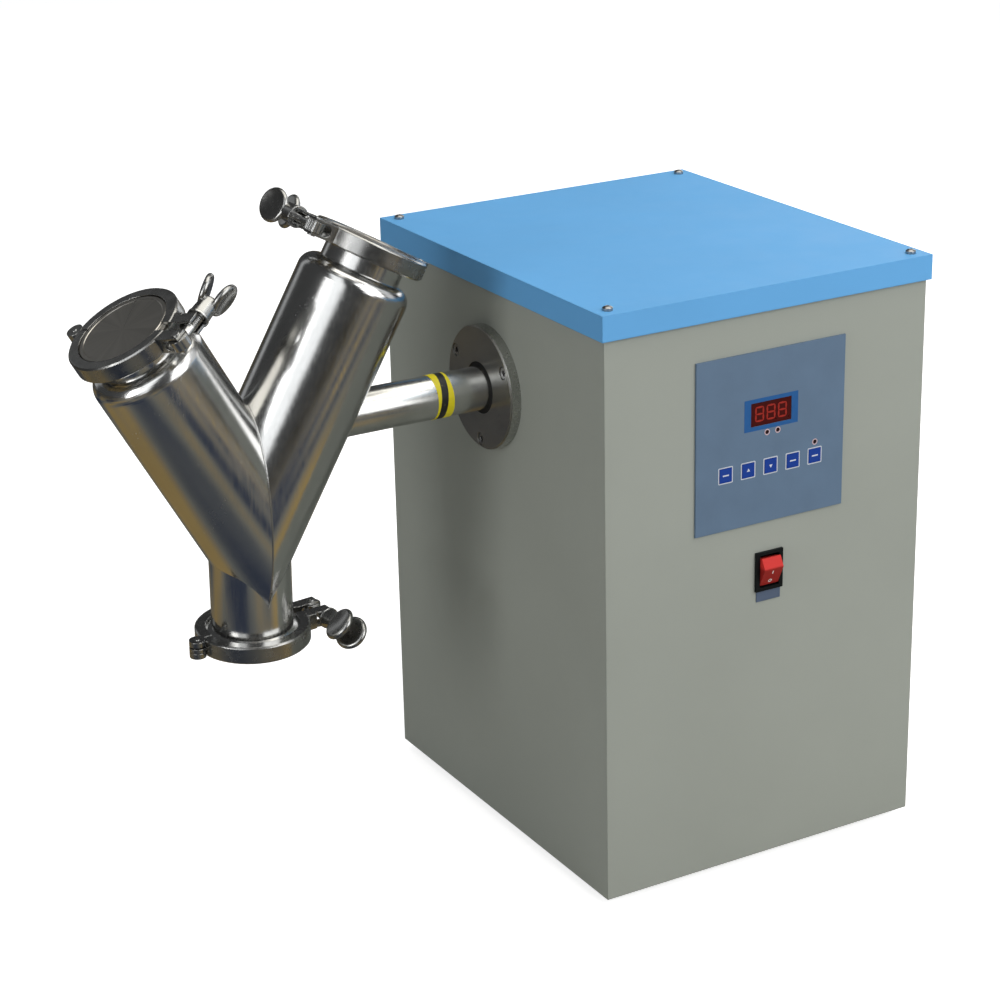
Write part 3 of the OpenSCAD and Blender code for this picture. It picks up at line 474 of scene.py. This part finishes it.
def rocker_red(name, red):
    """Red translucent plastic with painted shade: darker towards the foot, bright at the ridge."""
    finish = Finish(name, red, roughness=0.5, Specular_IOR_Level=0.15)
    where = finish.place()
    low, high = (middle_of("rocker").z + rise for rise in ROCKER_SHADE)
    bright = finish.spread(finish.split(where)["Z"], low, high)
    # Painted shade: below the ridge the red is darkened to half towards the foot
    finish.colour(finish.mix(bright, scaled(red, 0.5), red))
    finish.bump(finish.noise(where, 1500, detail=2), 0.03 * MM, strength=0.4, rounding=0.8 * MM)
    return finish.material


def glowing(name, colour, strength):
    """A display's lit parts."""
    finish = Finish(name, colour, roughness=0.35, Emission_Color=(*colour, 1), Emission_Strength=strength)
    finish.varied(finish.place(), scale=300, amount=0.08)
    return finish.material


def printed(name, colour):
    """Printing ink on the panel and the switch."""
    finish = Finish(name, colour, roughness=0.5)
    finish.varied(finish.place(), scale=200, amount=0.05)
    return finish.material


def paint_node(node, material):
    """Gives a node of the frame its one material."""
    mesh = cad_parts[node].data
    mesh.materials.clear()
    mesh.materials.append(material)


def paint_nodes(nodes, material):
    """Gives several nodes the same material."""
    for node in nodes:
        paint_node(node, material)


# Small pieces


def new_piece(name, shape, material, body):
    """Turns a bmesh into an object that rides on a body."""
    mesh = bpy.data.meshes.new(name)
    shape.to_mesh(mesh)
    shape.free()
    mesh.materials.append(material)
    piece = bpy.data.objects.new(name, mesh)
    bpy.context.scene.collection.objects.link(piece)
    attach(piece, body)


def set_upright(shape, x, y, z):
    """Carries a flat shape's XY plane to the front's XZ plane, facing -Y."""
    place = Matrix.Translation((x, y, z)) @ Matrix.Rotation(math.pi / 2, 4, "X")
    bmesh.ops.transform(shape, matrix=place, verts=shape.verts[:])


def raise_faces(shape, thickness):
    """Gives flat faces their thickness, towards their front."""
    made = bmesh.ops.extrude_face_region(shape, geom=shape.faces[:])
    up = [v for v in made["geom"] if isinstance(v, bmesh.types.BMVert)]
    bmesh.ops.translate(shape, verts=up, vec=(0, 0, thickness))
    bmesh.ops.recalc_face_normals(shape, faces=shape.faces[:])


def cut_hole(part, rim):
    """Takes the middle out of a flat face and leaves a rim of one width."""
    made = bmesh.ops.inset_region(
        part, faces=part.faces[:], thickness=rim, use_even_offset=True, use_boundary=True)
    inner = [f for f in part.faces if f not in made["faces"]]
    bmesh.ops.delete(part, geom=inner, context="FACES")


def add_raised(shape, part, thickness, at):
    """Thickens a flat part, moves it and adds it to a shape."""
    raise_faces(part, thickness)
    bmesh.ops.translate(part, verts=part.verts[:], vec=(*at, 0))
    mesh = bpy.data.meshes.new("part")
    part.to_mesh(mesh)
    part.free()
    shape.from_mesh(mesh)
    bpy.data.meshes.remove(mesh)


def plate(shape, width, height, thickness, at=(0, 0), corner=0.0, rim=0.0):
    """Adds a flat plate, with rounded corners or as a rim round a hole if asked."""
    part = bmesh.new()
    bmesh.ops.create_grid(part, x_segments=1, y_segments=1, size=0.5)
    bmesh.ops.scale(part, verts=part.verts[:], vec=(width, height, 1))
    if corner:
        bmesh.ops.bevel(
            part, geom=part.verts[:], offset=corner, segments=4, profile=0.5, affect="VERTICES", material=-1)
    if rim:
        cut_hole(part, rim)
    add_raised(shape, part, thickness, at)


def ring(shape, radius, inner, thickness, at):
    """Adds a flat ring."""
    part = bmesh.new()
    bmesh.ops.create_circle(part, cap_ends=True, segments=RING_SIDES, radius=radius)
    cut_hole(part, radius - inner)
    add_raised(shape, part, thickness, at)


def segment_bar(shape, length, width, thickness, at, upright=False):
    """Adds one bar of a digit, which tapers from its middle to both ends."""
    part = bmesh.new()
    bmesh.ops.create_circle(part, cap_ends=True, segments=6, radius=width / 2)
    for vert in part.verts:
        if abs(vert.co.x) > width * 0.1:
            vert.co.x += math.copysign(length / 2 - width / 2, vert.co.x)
    if upright:
        quarter = Matrix.Rotation(math.pi / 2, 3, "Z")
        bmesh.ops.rotate(part, verts=part.verts[:], cent=(0, 0, 0), matrix=quarter)
    add_raised(shape, part, thickness, at)


def lamp_places():
    """The middle of each indicator lamp, read from the lamps' own mesh."""
    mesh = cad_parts["indicator_lamps"].data
    front = min(v.co.y for v in mesh.vertices) + LAMP_DOME
    lamps = []
    for place in (v.co for v in mesh.vertices if v.co.y <= front):
        for lamp in lamps:
            if math.hypot(lamp[0].x - place.x, lamp[0].z - place.z) < LAMP_REACH:
                lamp.append(place)
                break
        else:
            lamps.append([place])
    return [(mean_of_ends(c.x for c in lamp), mean_of_ends(c.z for c in lamp)) for lamp in lamps]


def mean_of_ends(values):
    """Halfway between the least and the greatest."""
    found = sorted(values)
    return (found[0] + found[-1]) / 2


class MixerSizes(bpy.types.PropertyGroup):
    """Sizes of the small pieces."""

    frame_width: bpy.props.FloatProperty(
        name="Display frame width", description="Width of the blue frame round the display", default=50 * MM,
        min=0.04, max=0.08, unit="LENGTH")
    frame_height: bpy.props.FloatProperty(
        name="Display frame height", description="Height of the blue frame round the display",
        default=25.4 * MM, min=0.02, max=0.04, unit="LENGTH")
    digit_height: bpy.props.FloatProperty(
        name="Digit height", description="Height of the display's digits", default=12.6 * MM,
        min=0.006, max=0.016, unit="LENGTH")
    print_height: bpy.props.FloatProperty(
        name="Print thickness", description="How far printed marks stand off their surface",
        default=0.12 * MM, min=0.00005, max=0.0005, unit="LENGTH")
    weld_width: bpy.props.FloatProperty(
        name="Weld width", description="Width of the seam between the drum's legs", default=1.4 * MM,
        min=0.0005, max=0.004, unit="LENGTH")
    rim_width: bpy.props.FloatProperty(
        name="Key rim width", description="Width of the pale rim round each key", default=0.8 * MM,
        min=0.0003, max=0.002, unit="LENGTH")


class MixerColours(bpy.types.PropertyGroup):
    """Colours of the cabinet, the drum, the panel and the switch."""

    body: bpy.props.FloatVectorProperty(
        name="Cabinet", description="Colour of the cabinet's coat", subtype="COLOR", size=3,
        default=(0.351, 0.372, 0.332), min=0, max=1)
    lid: bpy.props.FloatVectorProperty(
        name="Lid", description="Colour of the lid's paint", subtype="COLOR", size=3,
        default=(0.135, 0.42, 0.79), min=0, max=1)
    panel: bpy.props.FloatVectorProperty(
        name="Panel", description="Colour of the control panel", subtype="COLOR", size=3,
        default=(0.114, 0.183, 0.279), min=0, max=1)
    keys: bpy.props.FloatVectorProperty(
        name="Keys", description="Colour of the keys", subtype="COLOR", size=3,
        default=(0.006, 0.045, 0.3), min=0, max=1)
    steel: bpy.props.FloatVectorProperty(
        name="Steel", description="Tone of the polished drum", subtype="COLOR", size=3,
        default=(0.62, 0.62, 0.61), min=0, max=1)
    rocker: bpy.props.FloatVectorProperty(
        name="Rocker", description="Colour of the rocker switch", subtype="COLOR", size=3,
        default=(0.64, 0.035, 0.03), min=0, max=1)


def sizes():
    """The sizes that a user may have changed."""
    return bpy.context.scene.mixer_sizes


def chosen(name):
    """One of the colours that a user may have changed."""
    return tuple(getattr(bpy.context.scene.mixer_colours, name))


class MIXER_OT_cabinet(bpy.types.Operator):
    """Coat the cabinet, its lid and what holds them"""

    bl_idname = "mixer.cabinet"
    bl_label = "Cabinet"

    def execute(self, context):
        paint_node("cabinet_shell", powder_coat("cabinet_coat", chosen("body"), roughness=0.6))
        paint_node("top_lid", powder_coat("lid_paint", chosen("lid"), roughness=0.58))
        paint_node("lid_screws", cast_steel("screw_steel", SCREW_TONE, roughness=0.3))
        paint_node("rubber_feet", rubber("feet_rubber", FEET_TONE))
        zinc = cast_steel("zinc_sheet", ZINC_TONE, roughness=0.42, grain=120)
        paint_nodes(("base_plate", "motor_stand", "bearing_housing"), zinc)
        return {"FINISHED"}


class MIXER_OT_drive(bpy.types.Operator):
    """Finish the flange, the shaft and the drive behind them"""

    bl_idname = "mixer.drive"
    bl_label = "Drive"

    def execute(self, context):
        along_x = Matrix.Translation((0, 0, SHAFT_Z)) @ Matrix.Rotation(math.pi / 2, 4, "Y")
        turned = turned_steel("turned_steel", FLANGE_TONE, along_x)
        paint_nodes(("bearing_flange", "bearing_outer_rings", "bearing_inner_rings"), turned)
        paint_node("drive_shaft", turned_steel("shaft_steel", SHAFT_TONE, along_x, roughness=0.16))
        paint_node("flange_screws", cast_steel("socket_screws", SOCKET_TONE, roughness=0.26))
        paint_nodes(("shaft_seal", "drive_belt"), rubber("black_rubber", BELT_TONE))
        paint_node("marking_tape", striped_tape("marking_tape"))
        pulley = cast_steel("pulley_iron", IRON_TONE, roughness=0.38, grain=120)
        paint_nodes(("large_pulley", "small_pulley"), pulley)
        paint_nodes(("motor", "gearbox"), powder_coat("motor_paint", MOTOR_TONE, roughness=0.45))
        return {"FINISHED"}


class MIXER_OT_drum(bpy.types.Operator):
    """Polish the drum, finish its caps, gaskets and clamps, and lay the seam between its legs"""

    bl_idname = "mixer.drum"
    bl_label = "Drum"

    def execute(self, context):
        paint_node("drum_shell", polished_steel("polished_steel", chosen("steel")))
        cast = cast_steel("cast_steel", CAST_TONE, roughness=0.24)
        bright = cast_steel("bright_steel", BRIGHT_TONE, roughness=0.22)
        silicone = plastic("silicone", SILICONE_TONE, roughness=0.5, Subsurface_Weight=0.1)
        for name in STATIONS:
            place = station(name)
            paint_node(name + "_cap", cap_steel(name + "_cap_steel", CAP_TONE, place))
            paint_node(name + "_gasket", silicone)
            paint_nodes((name + "_clamp_fixed_half", name + "_clamp_swing_half", name + "_wing_nut"), cast)
            paint_nodes((name + "_clamp_pins", name + "_washer"), bright)
            paint_node(name + "_swing_bolt", threaded_steel(name + "_thread", BRIGHT_TONE, place))
        self.weld(bright)
        return {"FINISHED"}

    def weld(self, steel):
        """The seam where the two legs meet, as a thin bead along their crease."""
        shape = bmesh.new()
        bmesh.ops.create_circle(
            shape, segments=WELD_SIDES, radius=sizes().weld_width / 2,
            matrix=Matrix.Translation((0, LEG_R, 0)))
        bmesh.ops.spin(
            shape, geom=shape.verts[:] + shape.edges[:], cent=(0, 0, 0), axis=(1, 0, 0), angle=math.tau,
            steps=WELD_STEPS, use_merge=True)
        stretch = 1 / math.sin(math.radians(LEG_ANGLE))
        bmesh.ops.scale(shape, verts=shape.verts[:], vec=(1, 1, stretch))
        neck = [v for v in shape.verts if v.co.z < 0 and abs(v.co.y) < NECK_R - WELD_END]
        bmesh.ops.delete(shape, geom=neck, context="VERTS")
        bmesh.ops.recalc_face_normals(shape, faces=shape.faces[:])
        for face in shape.faces:
            face.smooth = True
        place = drum_turn() @ Matrix.Translation((DRUM_X, 0, APEX_Z))
        bmesh.ops.transform(shape, matrix=place, verts=shape.verts[:])
        new_piece("leg_weld", shape, steel, "drum")


class MIXER_OT_panel(bpy.types.Operator):
    """Finish the control panel and add what is printed on it"""

    bl_idname = "mixer.panel"
    bl_label = "Control panel"

    def execute(self, context):
        paint_node("control_panel", plastic("panel_film", chosen("panel"), roughness=0.48))
        window = plastic("window_red", WINDOW_TONE, roughness=0.3, Specular_IOR_Level=0.25)
        paint_node("display_window", window)
        lens = plastic("lamp_lens", LENS_TONE, roughness=0.3, Specular_IOR_Level=0.3)
        paint_node("indicator_lamps", lens)
        paint_nodes(KEYS, plastic("key_blue", chosen("keys"), roughness=0.45, Specular_IOR_Level=0.25))
        paint_nodes(("control_board", "speed_drive"), plastic("board_green", BOARD_TONE, roughness=0.4))
        self.display_frame()
        self.digits()
        pale = printed("pale_print", PRINT_TONE)
        self.key_rims(pale)
        self.lamp_rims()
        self.key_marks(pale)
        return {"FINISHED"}

    def display_frame(self):
        """The printed frame: an even rim, and a broader strip at each end."""
        width, height = sizes().frame_width, sizes().frame_height
        rim = (height - OPENING_HEIGHT) / 2
        side = (width - OPENING_WIDTH) / 2 - rim
        shape = bmesh.new()
        plate(shape, width, height, sizes().print_height, rim=rim)
        for sign in (-1, 1):
            plate(shape, side + OVERLAP, OPENING_HEIGHT + OVERLAP, sizes().print_height,
                  at=(sign * (OPENING_WIDTH + side) / 2, 0))
        set_upright(shape, WINDOW_MIDDLE.x, PANEL_FACE, WINDOW_MIDDLE.z)
        new_piece("display_frame", shape, printed("frame_blue", FRAME_TONE), "cabinet")

    def digits(self):
        """Three digits, each an eight made of seven bars."""
        tall = sizes().digit_height
        wide = tall * DIGIT_WIDTH
        bar = tall * BAR_WIDTH
        reach = (tall - bar) / 2
        shape = bmesh.new()
        for column in (-1, 0, 1):
            x = column * DIGIT_PITCH
            for level in (-1, 0, 1):
                segment_bar(shape, wide, bar, THIN_PRINT, (x, level * reach))
            for side in (-1, 1):
                for level in (-0.5, 0.5):
                    at = (x + side * wide / 2, level * reach)
                    segment_bar(shape, reach, bar, THIN_PRINT, at, upright=True)
        set_upright(shape, WINDOW_MIDDLE.x, WINDOW_FACE, WINDOW_MIDDLE.z)
        red = glowing("digit_red", DIGIT_TONE, strength=0.3)
        new_piece("display_digits", shape, red, "cabinet")

    def key_rims(self, pale):
        """The pale rim printed round each key."""
        low, high = (Vector(v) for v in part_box(KEYS[0]))
        rim = sizes().rim_width
        across = high.x - low.x + 2 * KEY_GAP + 2 * rim
        shape = bmesh.new()
        for key in KEYS:
            middle = middle_of(key)
            plate(shape, across, across, sizes().print_height, at=(middle.x, middle.z),
                  corner=RIM_CORNER, rim=rim)
        set_upright(shape, 0, PANEL_FACE, 0)
        new_piece("key_rims", shape, pale, "cabinet")

    def lamp_rims(self):
        """The pale ring printed round each indicator lamp."""
        shape = bmesh.new()
        for place in lamp_places():
            ring(shape, LAMP_RIM_R, LAMP_R, sizes().print_height, at=place)
        set_upright(shape, 0, PANEL_FACE, 0)
        new_piece("lamp_rims", shape, printed("lamp_rim", LAMP_RIM_TONE), "cabinet")

    def key_marks(self, pale):
        """An arrow up on the second key, one down on the third, and a dash on the others."""
        for key in KEYS:
            shape = bmesh.new()
            if key in (UP_KEY, DOWN_KEY):
                turn = Matrix.Rotation(math.pi if key == DOWN_KEY else 0.0, 4, "Z")
                bmesh.ops.create_circle(shape, cap_ends=True, segments=3, radius=ARROW_R, matrix=turn)
                raise_faces(shape, KEY_PRINT)
            else:
                plate(shape, *DASH, KEY_PRINT)
            middle = middle_of(key)
            set_upright(shape, middle.x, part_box(key)[0][1], middle.z)
            new_piece(key + "_mark", shape, pale, key)


class MIXER_OT_switches(bpy.types.Operator):
    """Finish the power switch, its plate and the inlet at the back"""

    bl_idname = "mixer.switches"
    bl_label = "Switch and inlet"

    def execute(self, context):
        black = plastic("black_plastic", BLACK_TONE, roughness=0.5, Specular_IOR_Level=0.15)
        paint_nodes(("rocker_bezel", "power_inlet", "fuse_drawer"), black)
        paint_node("rocker", rocker_red("rocker_red", chosen("rocker")))
        paint_node("switch_label", plastic("label_slate", LABEL_TONE, roughness=0.42))
        paint_node("inlet_pins", cast_steel("plated_brass", BRASS_TONE, roughness=0.3))
        self.rocker_marks()
        return {"FINISHED"}

    def rocker_marks(self):
        """The bar and the ring on the rocker's lower face."""
        shape = bmesh.new()
        plate(shape, *MARK_BAR, THIN_PRINT, at=(0, MARK_REACH))
        ring(shape, *MARK_RING, THIN_PRINT, at=(0, -MARK_REACH))
        middle = middle_of("rocker")
        pivot = Vector((middle.x, BODY_FACE, middle.z + PIVOT_RISE))
        down = ROCKER_FOOT - ROCKER_RIDGE
        lean = math.atan2(down.y, -down.z)
        place = (
            Matrix.Translation(pivot + (ROCKER_RIDGE + ROCKER_FOOT) / 2)
            @ Matrix.Rotation(math.pi / 2 + lean, 4, "X")
        )
        bmesh.ops.transform(shape, matrix=place, verts=shape.verts[:])
        new_piece("rocker_marks", shape, printed("mark_white", MARK_TONE), "power_switch")


# Stage


def ray_kinds(nodes):
    """Two factors: 1 for rays from the camera, also through something clear, and 1 for reflections."""
    paths = nodes.node("ShaderNodeLightPath").outputs
    direct = nodes.maths("MAXIMUM", paths["Is Camera Ray"], paths["Is Transmission Ray"])
    return direct, paths["Is Glossy Ray"]


def window_glow(nodes, direction, toward, width, height, strength):
    """Brightness of a soft-edged window in the studio; its half sizes are in degrees."""
    heading = math.atan2(toward[0], -toward[1])
    turn = nodes.node("ShaderNodeVectorRotate", {"Angle": -heading}, rotation_type="Z_AXIS")
    nodes.link(direction, turn.inputs["Vector"])
    turned = nodes.split(turn.outputs[0])
    found = nodes.maths("LESS_THAN", turned["Y"], 0.0)
    for axis, middle, half in (("X", 0.0, width), ("Z", toward[2], height)):
        away = nodes.maths("ABSOLUTE", nodes.maths("SUBTRACT", turned[axis], middle))
        dark = math.sin(math.radians(half + WINDOW_FADE))
        lit = math.sin(math.radians(half - WINDOW_FADE))
        fade = nodes.node(
            "ShaderNodeMapRange", {"From Min": dark, "From Max": lit}, interpolation_type="SMOOTHSTEP")
        nodes.link(away, fade.inputs["Value"])
        found = nodes.maths("MULTIPLY", found, fade.outputs[0])
    return nodes.maths("MULTIPLY", found, strength)


class MIXER_OT_stage(bpy.types.Operator):
    """Set up the floor, the studio's light and the camera"""

    bl_idname = "mixer.stage"
    bl_label = "Stage"

    def execute(self, context):
        self.floor()
        self.world()
        self.lamps()
        self.camera()
        return {"FINISHED"}

    def floor(self):
        """A plane under the feet."""
        shape = bmesh.new()
        bmesh.ops.create_grid(shape, x_segments=1, y_segments=1, size=FLOOR_HALF)
        mesh = bpy.data.meshes.new("floor")
        shape.to_mesh(mesh)
        shape.free()
        mesh.materials.append(self.floor_material())
        floor = bpy.data.objects.new("floor", mesh)
        floor.location = (0, 0, FLOOR_Z)
        bpy.context.scene.collection.objects.link(floor)

    def floor_material(self):
        """White to the camera, grey to diffuse light, and a floor in cold and warm patches to reflections."""
        material = bpy.data.materials.new("studio_floor")
        material.use_nodes = True
        nodes = NodeTree(material.node_tree)
        nodes.tree.nodes.clear()
        out = nodes.node("ShaderNodeOutputMaterial")
        grey = nodes.node("ShaderNodeBsdfDiffuse", {"Color": (*FLOOR_GREY, 1)})
        place = nodes.node("ShaderNodeTexCoord").outputs["Object"]
        patched = nodes.node("ShaderNodeBsdfDiffuse")
        patches = nodes.ramp(nodes.noise(place, PATCH_SCALE, detail=1), PATCHES)
        nodes.link(patches, patched.inputs["Color"])
        shade = nodes.node("ShaderNodeBsdfDiffuse", {"Color": (*FLOOR_WHITE, 1)})
        light = nodes.node("ShaderNodeEmission", {"Strength": FLOOR_GLOW})
        white = nodes.node("ShaderNodeAddShader")
        nodes.link(shade.outputs[0], white.inputs[0])
        nodes.link(light.outputs[0], white.inputs[1])
        direct, glossy = ray_kinds(nodes)
        pick = nodes.mixed(direct, nodes.mixed(glossy, grey, patched), white)
        nodes.link(pick.outputs[0], out.inputs["Surface"])
        return material

    def world(self):
        """White to the camera, softer to diffuse light, and a dim room with windows to reflections."""
        world = bpy.data.worlds.new("studio")
        bpy.context.scene.world = world
        world.use_nodes = True
        nodes = NodeTree(world.node_tree)
        nodes.tree.nodes.clear()
        out = nodes.node("ShaderNodeOutputWorld")
        soft = nodes.node("ShaderNodeBackground", {"Color": (*SKY_TONE, 1), "Strength": SKY_STRENGTH})
        white = nodes.node("ShaderNodeBackground", {"Color": (*WHITE, 1), "Strength": 1.0})
        room = nodes.node("ShaderNodeBackground", {"Color": (*SKY_TONE, 1)})
        direction = nodes.node("ShaderNodeTexCoord").outputs["Generated"]
        total = nodes.spread(nodes.split(direction)["Y"], -1, 1, ROOM_FRONT, ROOM_BACK)
        for window in WINDOWS:
            total = nodes.maths("ADD", total, window_glow(nodes, direction, *window))
        nodes.link(total, room.inputs["Strength"])
        direct, glossy = ray_kinds(nodes)
        pick = nodes.mixed(direct, nodes.mixed(glossy, soft, room), white)
        nodes.link(pick.outputs[0], out.inputs["Surface"])

    def lamps(self):
        """The soft lamps, all turned to the object."""
        for name, place, width, height, power, tint in LAMPS:
            light = bpy.data.lights.new(name, "AREA")
            light.shape = "RECTANGLE"
            light.size = width
            light.size_y = height
            light.energy = power
            light.color = tint
            lamp = bpy.data.objects.new(name, light)
            lamp.location = place
            lamp.rotation_euler = (LAMP_AIM - lamp.location).to_track_quat("-Z", "Y").to_euler()
            bpy.context.scene.collection.objects.link(lamp)

    def camera(self):
        """The view that the photograph was taken from."""
        data = bpy.data.cameras.new("camera")
        data.sensor_width = CAMERA_SENSOR
        data.lens = CAMERA_LENS
        data.clip_end = CAMERA_FAR
        camera = bpy.data.objects.new("camera", data)
        camera.location = CAMERA_PLACE
        camera.rotation_euler = CAMERA_TURN
        bpy.context.scene.collection.objects.link(camera)
        bpy.context.scene.camera = camera


class MIXER_PT_panel(bpy.types.Panel):
    """Lists the mixer's settings and pieces"""

    bl_label = "Powder mixer"
    bl_space_type = "VIEW_3D"
    bl_region_type = "UI"
    bl_category = "Mixer"

    def draw(self, context):
        for group in (context.scene.mixer_sizes, context.scene.mixer_colours):
            for name in group.__annotations__:
                self.layout.prop(group, name)
        for operator in OPERATORS:
            self.layout.operator(operator.bl_idname)


GROUPS = (MixerSizes, MixerColours)
OPERATORS = (
    MIXER_OT_stage, MIXER_OT_cabinet, MIXER_OT_drive, MIXER_OT_drum, MIXER_OT_panel, MIXER_OT_switches,
)


def register():
    for cls in (*GROUPS, *OPERATORS, MIXER_PT_panel):
        bpy.utils.register_class(cls)
    bpy.types.Scene.mixer_sizes = bpy.props.PointerProperty(type=MixerSizes)
    bpy.types.Scene.mixer_colours = bpy.props.PointerProperty(type=MixerColours)


def unregister():
    del bpy.types.Scene.mixer_colours
    del bpy.types.Scene.mixer_sizes
    for cls in reversed((*GROUPS, *OPERATORS, MIXER_PT_panel)):
        bpy.utils.unregister_class(cls)


def main():
    """Dresses the frame, piece by piece."""
    register()
    bpy.context.scene.view_settings.view_transform = "Standard"
    bpy.ops.mixer.stage()
    bpy.ops.mixer.cabinet()
    bpy.ops.mixer.drive()
    bpy.ops.mixer.drum()
    bpy.ops.mixer.panel()
    bpy.ops.mixer.switches()


if __name__ == "__main__":
    main()
